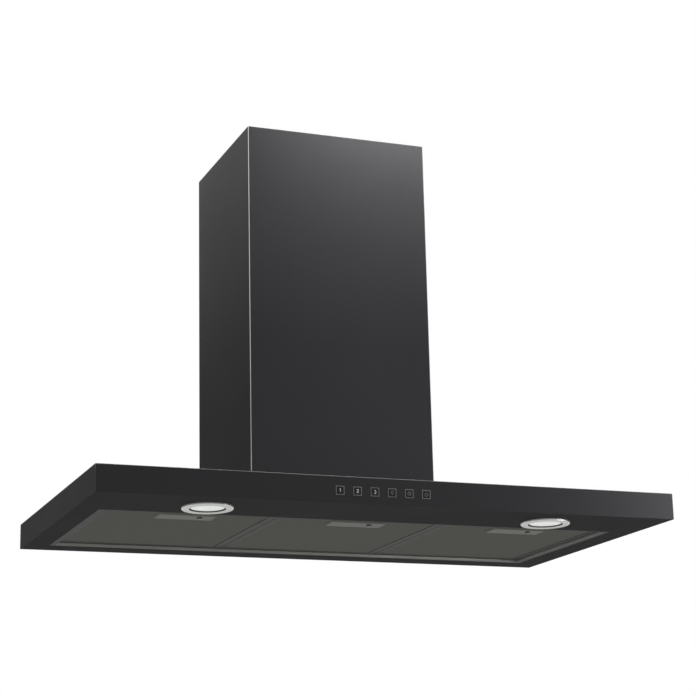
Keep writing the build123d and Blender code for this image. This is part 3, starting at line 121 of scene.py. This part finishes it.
# ---------------------------------------------------------------- materials
def powder_coat():
    """Black polyester powder coat, sprayed on sheet steel and baked: satin at the chimney's top,
    and duller towards the canopy, where cooking vapour settles. Its colour is painted paler
    towards the canopy too, painted light that lifts the canopy's dim front and underside. An
    orange peel of 1.6 mm breaks up its reflections, and its tone and gloss drift slowly where it is
    wiped. Its folds carry a painted highlight, pale and metallic, strongest up the chimney.
    Heights are metres above the canopy's underside: the canopy ends at 0.04 and the chimney at
    0.65."""
    material, tree, shader = new_material("black_powder_coat", IOR=1.5, Specular_IOR_Level=0.075)
    place = add_node(tree, "ShaderNodeTexCoord").outputs["Object"]
    height = add_node(tree, "ShaderNodeSeparateXYZ", links={"Vector": place}).outputs["Z"]
    peel = add_node(tree, "ShaderNodeTexNoise", {"Scale": 1 / (1.6 * MM), "Detail": 3.0},
                    {"Vector": place})
    clouds = add_node(tree, "ShaderNodeTexNoise", {"Scale": 1 / (180 * MM)}, {"Vector": place})
    drift = add_node(tree, "ShaderNodeMapRange", NOISE_REACH, {"Value": clouds})
    wiped = add_node(tree, "ShaderNodeMapRange", {"To Min": -0.02, "To Max": 0.02},
                     {"Value": drift})
    dull = add_node(tree, "ShaderNodeMapRange",
                    {"From Min": 0.2, "From Max": 0.65, "To Min": 0.76, "To Max": 0.42},
                    {"Value": height})
    roughness = add_node(tree, "ShaderNodeMath", {"operation": "ADD"}, {0: dull, 1: wiped})
    # Painted highlight on the folds: a pale, metallic colour there (steel), faint on the canopy and
    # full up the chimney.
    highlight_by_height = add_node(tree, "ShaderNodeMapRange",
                    {"From Min": 0.03, "From Max": 0.06, "To Min": 0.12, "To Max": 1.0},
                    {"Value": height})
    steel = add_node(tree, "ShaderNodeMath", {"operation": "MULTIPLY"},
                     {0: on_folds(tree), 1: highlight_by_height})
    # Painted light: the colour turns paler towards the canopy, to lift its dim front and underside.
    painted_lift = add_node(tree, "ShaderNodeMapRange",
                    {"From Min": 0.04, "From Max": 0.3, "To Min": 0.6, "To Max": 0.0},
                    {"Value": height})
    paint = add_node(tree, "ShaderNodeMix",
                     {"data_type": "RGBA", "A": linear("#29292b"), "B": linear("#2c2c2e")},
                     {"Factor": drift})
    lifted_paint = add_node(tree, "ShaderNodeMix", {"data_type": "RGBA", "B": linear("#404042")},
                     {"Factor": painted_lift, "A": paint})
    colour = add_node(tree, "ShaderNodeMix", {"data_type": "RGBA", "B": linear("#c4c4c2")},
                      {"Factor": steel, "A": lifted_paint})
    relief = add_node(tree, "ShaderNodeBump", {"Strength": 0.5, "Distance": 0.02 * MM},
                      {"Height": peel})
    join(tree, shader, {"Base Color": colour, "Metallic": steel, "Roughness": roughness,
                        "Normal": relief})
    return material


def anodised_frame():
    """Filter frame of rolled aluminium, anodised and dyed dark: half film, half metal to the eye,
    with faint rolling lines along its length, drawn 1.2 mm apart, coarser than real ones, so that
    they show. The lips that face front and back are painted paler: a painted highlight along them."""
    material, tree, shader = new_material("anodised_aluminium_frame", Metallic=0.4,
                                          Specular_IOR_Level=0.12)
    place = add_node(tree, "ShaderNodeTexCoord").outputs["Object"]
    drawn = add_node(tree, "ShaderNodeMapping", {"Scale": (0.02, 1.0, 1.0)}, {"Vector": place})
    lines = add_node(tree, "ShaderNodeTexNoise", {"Scale": 1 / (1.2 * MM), "Detail": 3.0},
                     {"Vector": drawn})
    streak = add_node(tree, "ShaderNodeMapRange", NOISE_REACH, {"Value": lines})
    # Painted highlight: lips that face front and back get a pale colour.
    painted_edge_highlight = add_node(tree, "ShaderNodeMapRange", {"From Min": 0.5, "From Max": 0.8},
                   {"Value": facing_axes(tree)["Y"]})
    dyed = add_node(tree, "ShaderNodeMix",
                    {"data_type": "RGBA", "A": linear("#31312f"), "B": linear("#373735")},
                    {"Factor": streak})
    colour = add_node(tree, "ShaderNodeMix", {"data_type": "RGBA", "B": linear("#7c7c78")},
                      {"Factor": painted_edge_highlight, "A": dyed})
    roughness = add_node(tree, "ShaderNodeMapRange", {"To Min": 0.42, "To Max": 0.55},
                         {"Value": streak})
    relief = add_node(tree, "ShaderNodeBump", {"Strength": 0.3, "Distance": 0.02 * MM},
                      {"Height": lines})
    join(tree, shader, {"Base Color": colour, "Roughness": roughness, "Normal": relief})
    return material


def bright_walled_surround():
    """Rolled aluminium surround of the filter opening: its flange, which faces down, is anodised
    dark as the filter frames are, and its walls have a pale, bare metal colour, a painted highlight
    that shows as a light line at the back. Its rolling lines are drawn 1.2 mm apart too."""
    material, tree, shader = new_material("rolled_aluminium_frame", Specular_IOR_Level=0.12)
    place = add_node(tree, "ShaderNodeTexCoord").outputs["Object"]
    drawn = add_node(tree, "ShaderNodeMapping", {"Scale": (0.02, 1.0, 1.0)}, {"Vector": place})
    lines = add_node(tree, "ShaderNodeTexNoise", {"Scale": 1 / (1.2 * MM), "Detail": 3.0},
                     {"Vector": drawn})
    streak = add_node(tree, "ShaderNodeMapRange", NOISE_REACH, {"Value": lines})
    flange = add_node(tree, "ShaderNodeMapRange", {"From Min": 0.6, "From Max": 0.9},
                      {"Value": facing_axes(tree)["Z"]})
    metal = add_node(tree, "ShaderNodeMapRange",
                     {"From Min": 0.3, "From Max": 0.7, "To Min": 1.0, "To Max": 0.4},
                     {"Value": flange})
    dyed = add_node(tree, "ShaderNodeMix",
                    {"data_type": "RGBA", "A": linear("#323230"), "B": linear("#383836")},
                    {"Factor": streak})
    # The walls' pale colour, where the flange mask is 0, is a painted highlight.
    colour = add_node(tree, "ShaderNodeMix", {"data_type": "RGBA", "A": linear("#b4b4b0")},
                      {"Factor": flange, "B": dyed})
    roughness = add_node(tree, "ShaderNodeMapRange", {"To Min": 0.42, "To Max": 0.55},
                         {"Value": streak})
    relief = add_node(tree, "ShaderNodeBump", {"Strength": 0.3, "Distance": 0.02 * MM},
                      {"Height": lines})
    join(tree, shader, {"Base Color": colour, "Metallic": metal, "Roughness": roughness,
                        "Normal": relief})
    return material


def turned_ring(side):
    """Lamp ring turned from aluminium: a pale satin face with a fine grain of 0.5 mm, a rim that is
    a little glossier, and a groove that frames the lens, painted dark as shade. The zones go by
    the distance from the lamp's axis."""
    groove_width, groove_blend, rim_width, rim_blend = 2.2 * MM, 0.2 * MM, 2.0 * MM, 0.6 * MM
    ring_low, ring_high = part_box(f"lamp_bezel_{side}")
    lens_low, lens_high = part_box(f"lamp_lens_{side}")
    axis = ((ring_low.x + ring_high.x) / 2, (ring_low.y + ring_high.y) / 2, 0.0)
    groove_wall = (lens_high.x - lens_low.x) / 2 + groove_width
    rim_start = (ring_high.x - ring_low.x) / 2 - rim_width
    material, tree, shader = new_material("turned_aluminium_ring", Metallic=1.0)
    place = add_node(tree, "ShaderNodeTexCoord").outputs["Object"]
    part = add_node(tree, "ShaderNodeSeparateXYZ", links={"Vector": place})
    flat = add_node(tree, "ShaderNodeCombineXYZ",
                    links={"X": part.outputs["X"], "Y": part.outputs["Y"]})
    radius = add_node(tree, "ShaderNodeVectorMath", {"operation": "DISTANCE", 1: axis}, {0: flat})
    face = add_node(tree, "ShaderNodeMapRange",
                    {"From Min": groove_wall, "From Max": groove_wall + groove_blend},
                    {"Value": radius})
    roughness = add_node(tree, "ShaderNodeMapRange",
                         {"From Min": rim_start - rim_blend, "From Max": rim_start,
                          "To Min": 0.4, "To Max": 0.36}, {"Value": radius})
    grain = add_node(tree, "ShaderNodeTexNoise", {"Scale": 1 / (0.5 * MM)}, {"Vector": place})
    speckle = add_node(tree, "ShaderNodeMapRange", NOISE_REACH, {"Value": grain})
    bright = add_node(tree, "ShaderNodeMix",
                      {"data_type": "RGBA", "A": linear("#e6e6e4"), "B": linear("#f0f0ee")},
                      {"Factor": speckle})
    # Painted shade: the groove round the lens is dark.
    colour = add_node(tree, "ShaderNodeMix", {"data_type": "RGBA", "A": linear("#5c5c5b")},
                      {"Factor": face, "B": bright})
    join(tree, shader, {"Base Color": colour, "Roughness": roughness})
    return material


def satin_metal(name, low_hex, high_hex, roughness, grain=0.8 * MM):
    """Stamped, cast, turned or plated metal with a satin surface: an even grain without direction,
    drawn coarser than the real one so that it shows."""
    material, tree, shader = new_material(name, Metallic=1.0)
    place = add_node(tree, "ShaderNodeTexCoord").outputs["Object"]
    pores = add_node(tree, "ShaderNodeTexNoise", {"Scale": 1 / grain}, {"Vector": place})
    speckle = add_node(tree, "ShaderNodeMapRange", NOISE_REACH, {"Value": pores})
    colour = add_node(tree, "ShaderNodeMix",
                      {"data_type": "RGBA", "A": linear(low_hex), "B": linear(high_hex)},
                      {"Factor": speckle})
    rough = add_node(tree, "ShaderNodeMapRange",
                     {"To Min": roughness - 0.04, "To Max": roughness + 0.04},
                     {"Value": speckle})
    relief = add_node(tree, "ShaderNodeBump", {"Strength": 0.3, "Distance": 0.01 * MM},
                      {"Height": pores})
    join(tree, shader, {"Base Color": colour, "Roughness": rough, "Normal": relief})
    return material


def galvanised_sheet():
    """Hot-dip galvanised steel: zinc crystals of about 6 mm, each with its own grey and gloss."""
    material, tree, shader = new_material("galvanised_steel", Metallic=1.0)
    place = add_node(tree, "ShaderNodeTexCoord").outputs["Object"]
    crystals = add_node(tree, "ShaderNodeTexVoronoi", {"Scale": 1 / (6 * MM)}, {"Vector": place})
    tone = add_node(tree, "ShaderNodeSeparateColor", links={"Color": crystals.outputs["Color"]})
    shade = add_node(tree, "ShaderNodeMapRange", NOISE_REACH, {"Value": tone})
    colour = add_node(tree, "ShaderNodeMix",
                      {"data_type": "RGBA", "A": linear("#969a9c"), "B": linear("#a4a8aa")},
                      {"Factor": shade})
    roughness = add_node(tree, "ShaderNodeMapRange", {"To Min": 0.42, "To Max": 0.48},
                         {"Value": shade})
    join(tree, shader, {"Base Color": colour, "Roughness": roughness})
    return material


def moulded_plastic(name, low_hex, high_hex, roughness, gloss=0.4):
    """Injection-moulded plastic, or stoved enamel, which is as even: its tone drifts slowly, and
    fine pits, which the mould's spark-eroded face leaves in it, soften its shine. They are drawn
    0.7 mm across, coarser than real ones, so that they show."""
    material, tree, shader = new_material(name, IOR=1.5, Specular_IOR_Level=gloss)
    place = add_node(tree, "ShaderNodeTexCoord").outputs["Object"]
    clouds = add_node(tree, "ShaderNodeTexNoise", {"Scale": 1 / (40 * MM)}, {"Vector": place})
    drift = add_node(tree, "ShaderNodeMapRange", NOISE_REACH, {"Value": clouds})
    pits = add_node(tree, "ShaderNodeTexNoise", {"Scale": 1 / (0.7 * MM)}, {"Vector": place})
    colour = add_node(tree, "ShaderNodeMix",
                      {"data_type": "RGBA", "A": linear(low_hex), "B": linear(high_hex)},
                      {"Factor": drift})
    rough = add_node(tree, "ShaderNodeMapRange",
                     {**NOISE_REACH, "To Min": roughness - 0.05, "To Max": roughness + 0.05},
                     {"Value": pits})
    relief = add_node(tree, "ShaderNodeBump", {"Strength": 0.4, "Distance": 0.03 * MM},
                      {"Height": pits})
    join(tree, shader, {"Base Color": colour, "Roughness": rough, "Normal": relief})
    return material


def frosted_lens():
    """Frosted acrylic diffuser over an LED lamp: milky white, glowing evenly from behind, with
    soft clouds of 9 mm where an LED shines through more."""
    material, tree, shader = new_material("frosted_acrylic", IOR=1.49, Roughness=0.45,
                                          Emission_Color=linear("#f4f7f5"))
    place = add_node(tree, "ShaderNodeTexCoord").outputs["Object"]
    clouds = add_node(tree, "ShaderNodeTexNoise", {"Scale": 1 / (9 * MM), "Detail": 1.0},
                      {"Vector": place})
    drift = add_node(tree, "ShaderNodeMapRange", NOISE_REACH, {"Value": clouds})
    colour = add_node(tree, "ShaderNodeMix",
                      {"data_type": "RGBA", "A": linear("#d9dcda"), "B": linear("#e6e8e6")},
                      {"Factor": drift})
    glow = add_node(tree, "ShaderNodeMapRange", {"To Min": 0.47, "To Max": 0.54},
                    {"Value": drift})
    join(tree, shader, {"Base Color": colour, "Emission Strength": glow})
    return material


def circuit_board():
    """Glass-epoxy board under green solder mask: smooth, with paler copper tracks showing through,
    0.5 mm wide round fields of 4.2 mm by 2.1 mm. The pattern's unit is two fields long, 8.3 mm."""
    unit = 25 / 3 * MM
    material, tree, shader = new_material("fr4_circuit_board", IOR=1.5, Roughness=0.35)
    place = add_node(tree, "ShaderNodeTexCoord").outputs["Object"]
    tracks = add_node(tree, "ShaderNodeTexBrick",
                      {"Scale": 1 / unit, "Mortar Size": 0.25 * MM / unit,
                       "Color1": linear("#1f5a34"), "Color2": linear("#246238"),
                       "Mortar": linear("#3f8a55")}, {"Vector": place})
    join(tree, shader, {"Base Color": tracks})
    return material


def soft_rubber():
    """Moulded black rubber: dull, with a faint grey bloom in spots of 2 mm."""
    material, tree, shader = new_material("black_rubber", IOR=1.52, Specular_IOR_Level=0.3)
    place = add_node(tree, "ShaderNodeTexCoord").outputs["Object"]
    spots = add_node(tree, "ShaderNodeTexNoise", {"Scale": 1 / (2 * MM)}, {"Vector": place})
    bloom = add_node(tree, "ShaderNodeMapRange", NOISE_REACH, {"Value": spots})
    colour = add_node(tree, "ShaderNodeMix",
                      {"data_type": "RGBA", "A": linear("#191919"), "B": linear("#222221")},
                      {"Factor": bloom})
    roughness = add_node(tree, "ShaderNodeMapRange", {"To Min": 0.75, "To Max": 0.9},
                         {"Value": bloom})
    join(tree, shader, {"Base Color": colour, "Roughness": roughness})
    return material


def printed_ink(name, hex_colour):
    """Screen-printed ink: flat and matt, with the slight unevenness that the screen leaves, drawn
    0.4 mm across, coarser than a real one, so that it shows."""
    material, tree, shader = new_material(name, IOR=1.5, Specular_IOR_Level=0.3,
                                          Base_Color=linear(hex_colour))
    place = add_node(tree, "ShaderNodeTexCoord").outputs["Object"]
    screen = add_node(tree, "ShaderNodeTexNoise", {"Scale": 1 / (0.4 * MM), "Detail": 1.0},
                      {"Vector": place})
    roughness = add_node(tree, "ShaderNodeMapRange",
                         {**NOISE_REACH, "To Min": 0.5, "To Max": 0.65}, {"Value": screen})
    join(tree, shader, {"Roughness": roughness})
    return material


# The black coat takes up most of the hood and drinks the light, so its folds, with their painted
# highlights, draw the shape.
coat = powder_coat()
# Filter frames and surround: darker and flatter than bare metal, with painted highlights in a
# pale colour on the frames' front and back lips and on the surround's walls.
filter_metal = anodised_frame()
surround_metal = bright_walled_surround()
# Slit and stretched aluminium strands glint over the layers of mesh behind them. These are dark
# from anodising, and darker still with painted shade for the mesh's depth.
strand_metal = satin_metal("expanded_aluminium_strand", "#686864", "#747470", 0.5)
pack_metal = satin_metal("anodised_shaded_aluminium_layer", "#484845", "#50504d", 0.6)
# Stamped latch plates: flat and satin, a little paler than the mesh, with darker, glossier knobs.
plate_metal = satin_metal("stamped_steel_plate", "#6c6c66", "#757570", 0.5)
knob_metal = satin_metal("turned_steel_knob", "#5e5e5a", "#686864", 0.4)
# Tempered spring steel: smooth, with a clear highlight. Zinc-plated screws: brighter still.
spring_metal = satin_metal("spring_steel", "#7a7a7a", "#8a8a8a", 0.3)
screw_zinc = satin_metal("zinc_plated_steel", "#a5a5a2", "#b2b2ae", 0.32)
# Die-cast lamp cans: dull and pale, with a coarse skin. Zinc-dipped sheet: mottled, cool grey.
cast_metal = satin_metal("die_cast_aluminium", "#8e8e8e", "#9a9a9a", 0.55, grain=1.5 * MM)
zinc_sheet = galvanised_sheet()
# Lamps: even white lenses over green boards.
lens_white = frosted_lens()
board_green = circuit_board()
# Buttons: matt caps, nearly black, whose printed signs stand out in a grey frame.
frame_plastic = moulded_plastic("grey_abs", "#727274", "#7a7a7c", 0.5)
cap_plastic = moulded_plastic("black_abs_cap", "#232325", "#262628", 0.6, gloss=0.13)
bright_ink = printed_ink("white_ink", "#dcdcda")
dim_ink = printed_ink("grey_ink", "#6f6f6e")
# Blower: dark grey scroll round a cream wheel, black collar with pale flaps, and satin enamel and
# dull rubber on the motor. Housings of the electronics: black with a soft shine.
scroll_plastic = moulded_plastic("grey_polypropylene", "#3a3a3c", "#414143", 0.55)
wheel_plastic = moulded_plastic("natural_polypropylene", "#cfcec8", "#d8d7d1", 0.45)
collar_plastic = moulded_plastic("black_polypropylene", "#1d1d1e", "#252526", 0.5)
flap_plastic = moulded_plastic("light_grey_abs", "#a9a9a6", "#b3b3b0", 0.5)
motor_enamel = moulded_plastic("grey_stoved_enamel", "#48494b", "#505153", 0.4)
bush_rubber = soft_rubber()
housing_plastic = moulded_plastic("black_polycarbonate", "#1c1c1d", "#222223", 0.5)

finishes = {
    "canopy_shell": coat, "underside_panel": coat, "lower_chimney": coat, "upper_chimney": coat,
    "filter_surround": surround_metal, "lamp_clips": spring_metal, "button_frame": frame_plastic,
    "control_board": board_green, "tact_switches": housing_plastic, "blower_box": zinc_sheet,
    "box_front_panel": zinc_sheet, "wall_hangers": zinc_sheet, "volute_left": scroll_plastic,
    "volute_right": scroll_plastic, "outlet_duct": scroll_plastic, "impeller": wheel_plastic,
    "motor_shaft": spring_metal, "fan_motor": motor_enamel, "motor_bracket": zinc_sheet,
    "motor_bushes": bush_rubber, "capacitor": collar_plastic, "outlet_collar": collar_plastic,
    "flap_front": flap_plastic, "flap_rear": flap_plastic, "control_unit": housing_plastic,
    "cable_gland": housing_plastic, "chimney_bracket": zinc_sheet, "box_screws": screw_zinc,
    "chimney_screws": screw_zinc, "collar_screws": screw_zinc, "bracket_screws": screw_zinc,
}
for side in SIDES:
    finishes[f"lamp_bezel_{side}"] = turned_ring(side)
    finishes[f"lamp_lens_{side}"] = lens_white
    finishes[f"lamp_board_{side}"] = board_green
    finishes[f"lamp_can_{side}"] = cast_metal
for number in FILTERS:
    finishes[f"filter_frame_{number}"] = filter_metal
    finishes[f"filter_mesh_{number}"] = pack_metal
    finishes[f"latch_plate_{number}"] = plate_metal
    finishes[f"latch_bolt_{number}"] = knob_metal
    finishes[f"latch_spring_{number}"] = spring_metal
for number in BUTTONS:
    finishes[f"button_{number}"] = cap_plastic

for name, finish in finishes.items():
    for slot in nodes[name].material_slots:
        slot.material = finish


# ---------------------------------------------------------------- shapes
def make_piece(name, points, faces, material, body):
    """A mesh object at the origin from arrays of points and of faces. It rides on a body and takes
    the finish that it is given."""
    mesh = bpy.data.meshes.new(name)
    mesh.from_pydata(points.tolist(), [], faces.tolist())
    mesh.materials.append(material)
    piece = bpy.data.objects.new(name, mesh)
    bpy.context.scene.collection.objects.link(piece)
    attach(piece, body)
    return piece


def grid_faces(rows, columns, closed=False):
    """Quads of a grid of rows by columns points; closed joins the last column to the first."""
    across = columns if closed else columns - 1
    row, column = np.meshgrid(np.arange(rows - 1), np.arange(across), indexing="ij")
    here = row * columns + column
    beside = row * columns + (column + 1) % columns
    return np.stack([here, beside, beside + columns, here + columns], axis=-1).reshape(-1, 4)


def two_sides(line, width):
    """The left and right edges of a ribbon along a line in a plane: each point of the line, moved
    by half the width along the unit normal of the line's direction there."""
    along = np.gradient(line, axis=0)
    along /= np.linalg.norm(along, axis=1, keepdims=True)
    normal = np.stack([-along[:, 1], along[:, 0]], axis=-1) * width / 2
    return line + normal, line - normal


def arc(centre, radius, start, end, steps=24):
    """Points on a circle's arc: centre + radius * (cos a, sin a), for angles a that go evenly from
    start to end, in degrees."""
    angle = np.radians(np.linspace(start, end, steps))
    return np.stack([centre[0] + radius * np.cos(angle), centre[1] + radius * np.sin(angle)], -1)


# ---------------------------------------------------------------- filters
def expanded_mesh(number):
    """Expanded metal under a filter's mesh pack. Strand j runs along x, and its middle line is
    y = low + pitch * (j + 1/2 + swing * s_j * w(x)), where w is a triangle wave from -1 to 1 that
    repeats with each diamond, and s_j is 1 and -1 in turn, so that neighbours run together at the
    knots. Its section is a ridge of two slopes whose middle hangs lowest. The diamonds are drawn
    8 mm long, or a little more, so that whole ones fill the length. That is coarser than real
    ones, so that they show."""
    diamond, pitch, half_width, swing = 8.0 * MM, 2.2 * MM, 0.55 * MM, 0.36
    border, below_frame, above_ridge = 12.0 * MM, 0.15 * MM, 0.05 * MM
    frame_low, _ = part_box(f"filter_frame_{number}")
    pack_low, pack_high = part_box(f"filter_mesh_{number}")
    low = Vector((pack_low.x + border, pack_low.y + border, frame_low.z + below_frame))
    high = Vector((pack_high.x - border, pack_high.y - border, pack_low.z - above_ridge))
    strands = int((high.y - low.y) / pitch)
    steps = 4 * int((high.x - low.x) / diamond) + 1
    x = np.linspace(low.x, high.x, steps)
    wave = np.array([-1.0, 0.0, 1.0, 0.0])[np.arange(steps) % 4]
    strand = np.arange(strands)[:, None]
    turn = np.where(strand % 2 == 0, 1.0, -1.0)
    middle = low.y + pitch * (strand + 0.5 + swing * turn * wave)
    section_y = np.array([-half_width, 0.0, half_width])
    section_z = np.array([high.z, low.z, high.z])
    points = np.stack(np.broadcast_arrays(x[None, :, None], middle[:, :, None] + section_y,
                                          section_z), axis=-1)
    first_points = (np.arange(strands) * steps * 3)[:, None, None]
    faces = grid_faces(steps, 3)[None] + first_points
    make_piece(f"mesh_skin_{number}", points.reshape(-1, 3), faces.reshape(-1, 4), strand_metal,
               f"filter_{number}")


def leaf_spring(number):
    """Leaf spring behind a latch bolt, bent to a wave that the bolt packs together. Its middle
    line is x = middle_x + half_span * cos(pi * t), with y even in t from the bolt to its stop, as t
    goes from 0 to the number of bends. The leaf stands half its thickness to each side of that
    line, and its four sides and two ends are closed."""
    leaf, bends, steps, packed = 0.4 * MM, 5, 121, 0.35
    low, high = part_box(f"latch_spring_{number}")
    middle_x = (low.x + high.x) / 2
    half_span = (high.x - low.x - leaf) / 2
    t = np.linspace(0.0, bends, steps)
    line = np.stack([middle_x + half_span * np.cos(np.pi * t),
                     low.y + leaf / 2 + (high.y - low.y - leaf) * t / bends], axis=-1)
    left, right = two_sides(line, leaf)
    section = [(left, low.z), (left, high.z), (right, high.z), (right, low.z)]
    points = np.stack([np.column_stack([side, np.full(steps, z)]) for side, z in section], axis=1)
    last = 4 * steps - 1
    ends = np.array([(0, 1, 2, 3), (last, last - 1, last - 2, last - 3)])
    faces = np.concatenate([grid_faces(steps, 4, closed=True), ends])
    piece = make_piece(f"spring_{number}", points.reshape(-1, 3), faces, spring_metal,
                       f"filter_{number}")
    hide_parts(f"latch_spring_{number}")
    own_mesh(piece)


# ---------------------------------------------------------------- signs on the buttons
# Plain numbers for the three speeds, then a lamp, a clock and a power sign, as the middle lines
# of strokes, in millimetres right of and above the middle of the button.
sign_strokes = {
    1: [np.linspace((0.3, -2.3), (0.3, 2.3), 4), np.linspace((-1.0, 1.3), (0.5, 2.3), 4)],
    2: [np.concatenate([arc((0, 1.0), 1.35, 160, -35), [(-1.4, -2.1)]]),
        np.linspace((-1.6, -2.1), (1.6, -2.1), 4)],
    3: [arc((0, 1.15), 1.15, 150, -80), arc((0, -1.1), 1.3, 80, -150)],
    4: [arc((0, 0.75), 1.875, -60, 240), np.linspace((-0.875, -1.75), (0.875, -1.75), 4),
        np.linspace((-0.75, -2.75), (0.75, -2.75), 4)],
    5: [arc((0, 0), 2.5, 0, 360, 40), np.linspace((0, 0), (0, 1.625), 4),
        np.linspace((0, 0), (1.25, 0), 4)],
    6: [arc((0, -0.25), 2.375, 125, 415, 40), np.linspace((0, 0.5), (0, 3.0), 4)],
}


def button_sign(number, ink):
    """The strokes of one sign as ribbons of ink on its button's face: the edges of each lie half
    its width to each side of the stroke's line, and it is printed a hair over the one before."""
    stroke_width, ink_lift, overprint = 0.85 * MM, 0.01 * MM, 0.004 * MM
    low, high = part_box(f"button_{number}")
    middle = (low + high) / 2
    points, faces, count = [], [], 0
    for index, stroke in enumerate(sign_strokes[number]):
        edges = np.stack(two_sides(stroke * MM, stroke_width), axis=1).reshape(-1, 2)
        y = np.full(len(edges), low.y - ink_lift - index * overprint)
        points.append(np.stack([middle.x + edges[:, 0], y, middle.z + edges[:, 1]], axis=-1))
        faces.append(grid_faces(len(stroke), 2) + count)
        count += len(edges)
    make_piece(f"mark_{number}", np.concatenate(points), np.concatenate(faces), ink,
               f"button_{number}")


for number in FILTERS:
    expanded_mesh(number)
for number in FILTERS:
    leaf_spring(number)
for number in BUTTONS:
    button_sign(number, bright_ink if number <= 3 else dim_ink)


# ---------------------------------------------------------------- stage
def softbox(name, place, target, size, power):
    """A rectangular studio light that faces a point and isn't seen itself."""
    lamp = bpy.data.lights.new(name, "AREA")
    lamp.shape = "RECTANGLE"
    lamp.size, lamp.size_y = size
    lamp.energy = power
    light = bpy.data.objects.new(name, lamp)
    light.location = place
    light.rotation_euler = (Vector(target) - Vector(place)).to_track_quat("-Z", "Y").to_euler()
    light.visible_camera = False
    bpy.context.scene.collection.objects.link(light)


def seen_directly(tree):
    """1 for a ray from the camera, a mirror or a glass, and 0 for light that falls on things."""
    path = add_node(tree, "ShaderNodeLightPath").outputs
    seen = add_node(tree, "ShaderNodeMath", {"operation": "MAXIMUM"},
                    {0: path["Is Camera Ray"], 1: path["Is Glossy Ray"]})
    return add_node(tree, "ShaderNodeMath", {"operation": "MAXIMUM"},
                    {0: seen, 1: path["Is Transmission Ray"]})


def pale_floor():
    """A plain matt floor far below the hood, wide enough to fill the view's lower part from any
    side. Seen directly it is nearly half white, so that it stays pale and keeps the object's
    shadow, and towards its edge it fades to the white of the background."""
    height, half_width, fade_start, fade_end = -5.5, 45.0, 24.0, 44.0
    corners = [(-1, -1), (1, -1), (1, 1), (-1, 1)]
    points = [(x * half_width, y * half_width, height) for x, y in corners]
    mesh = bpy.data.meshes.new("floor")
    mesh.from_pydata(points, [], [(0, 1, 2, 3)])
    material, tree, shader = new_material("matt_floor", Base_Color=linear("#e4e4e2"),
                                          Roughness=0.9, Specular_IOR_Level=0.1)
    white = add_node(tree, "ShaderNodeEmission", {"Strength": 1.0})
    place = add_node(tree, "ShaderNodeTexCoord").outputs["Object"]
    reach = add_node(tree, "ShaderNodeVectorMath",
                     {"operation": "DISTANCE", 1: (0.0, 0.0, height)}, {0: place})
    faded = add_node(tree, "ShaderNodeMapRange",
                     {"interpolation_type": "SMOOTHSTEP", "From Min": fade_start,
                      "From Max": fade_end, "To Min": 0.45, "To Max": 1.0}, {"Value": reach})
    share = add_node(tree, "ShaderNodeMath", {"operation": "MULTIPLY"},
                     {0: seen_directly(tree), 1: faded})
    paled = add_node(tree, "ShaderNodeMixShader", links={0: share, 1: shader, 2: white})
    join(tree, tree.nodes["Material Output"], {"Surface": paled})
    mesh.materials.append(material)
    floor = bpy.data.objects.new("floor", mesh)
    bpy.context.scene.collection.objects.link(floor)


def studio_world(ambient):
    """White to the camera and in reflections, and a dimmer even light for everything else."""
    world = bpy.data.worlds.new("studio")
    bpy.context.scene.world = world
    world.use_nodes = True
    tree = world.node_tree
    background = tree.nodes["Background"]
    background.inputs["Color"].default_value = (1.0, 1.0, 1.0, 1.0)
    strength = add_node(tree, "ShaderNodeMapRange", {"To Min": ambient, "To Max": 1.0},
                        {"Value": seen_directly(tree)})
    join(tree, background, {"Strength": strength})


def photo_camera():
    """The photograph's viewpoint: place, turn and lens solved from the hood's straight edges. The
    angles are in radians: yaw from +Y towards +X, pitch upwards, roll about the line of sight."""
    place = Vector((-1.0550, -3.0161, -0.4966))
    yaw, pitch, roll = 0.3709, 0.2630, -0.0227
    forward = Vector((np.sin(yaw) * np.cos(pitch), np.cos(yaw) * np.cos(pitch), np.sin(pitch)))
    right = forward.cross(Vector((0, 0, 1))).normalized()
    up = right.cross(forward)
    turned_right = right * np.cos(roll) + up * np.sin(roll)
    turned_up = up * np.cos(roll) - right * np.sin(roll)
    data = bpy.data.cameras.new("camera")
    data.sensor_width = 36.0
    data.lens = 99.26
    camera = bpy.data.objects.new("camera", data)
    turn = Matrix((turned_right, turned_up, -forward)).transposed()
    camera.matrix_world = Matrix.Translation(place) @ turn.to_4x4()
    bpy.context.scene.collection.objects.link(camera)
    bpy.context.scene.camera = camera


pale_floor()
studio_world(ambient=0.35)
photo_camera()
# The large lights shape the whole hood. The small ones stand near the chimney's top and the
# canopy's right end, and give the soft falls of light that these show.
hood_middle, chimney_top, canopy_end = (0.0, -0.2, 0.3), (0.10, -0.275, 0.60), (0.42, -0.50, 0.02)
softbox("key", (2.2, -3.0, 2.6), hood_middle, size=(2.2, 2.2), power=44.0)
softbox("fill", (-3.2, -1.2, 1.6), hood_middle, size=(1.6, 2.4), power=8.0)
softbox("chimney_strip", (0.19, -0.50, 0.81), chimney_top, size=(0.5, 0.08), power=2.6)
softbox("chimney_corner", (0.25, -0.55, 0.84), chimney_top, size=(0.35, 0.1), power=2.5)
softbox("canopy_corner", (0.56, -0.66, 0.05), canopy_end, size=(0.2, 0.2), power=0.85)

bpy.context.scene.view_settings.view_transform = "Standard"
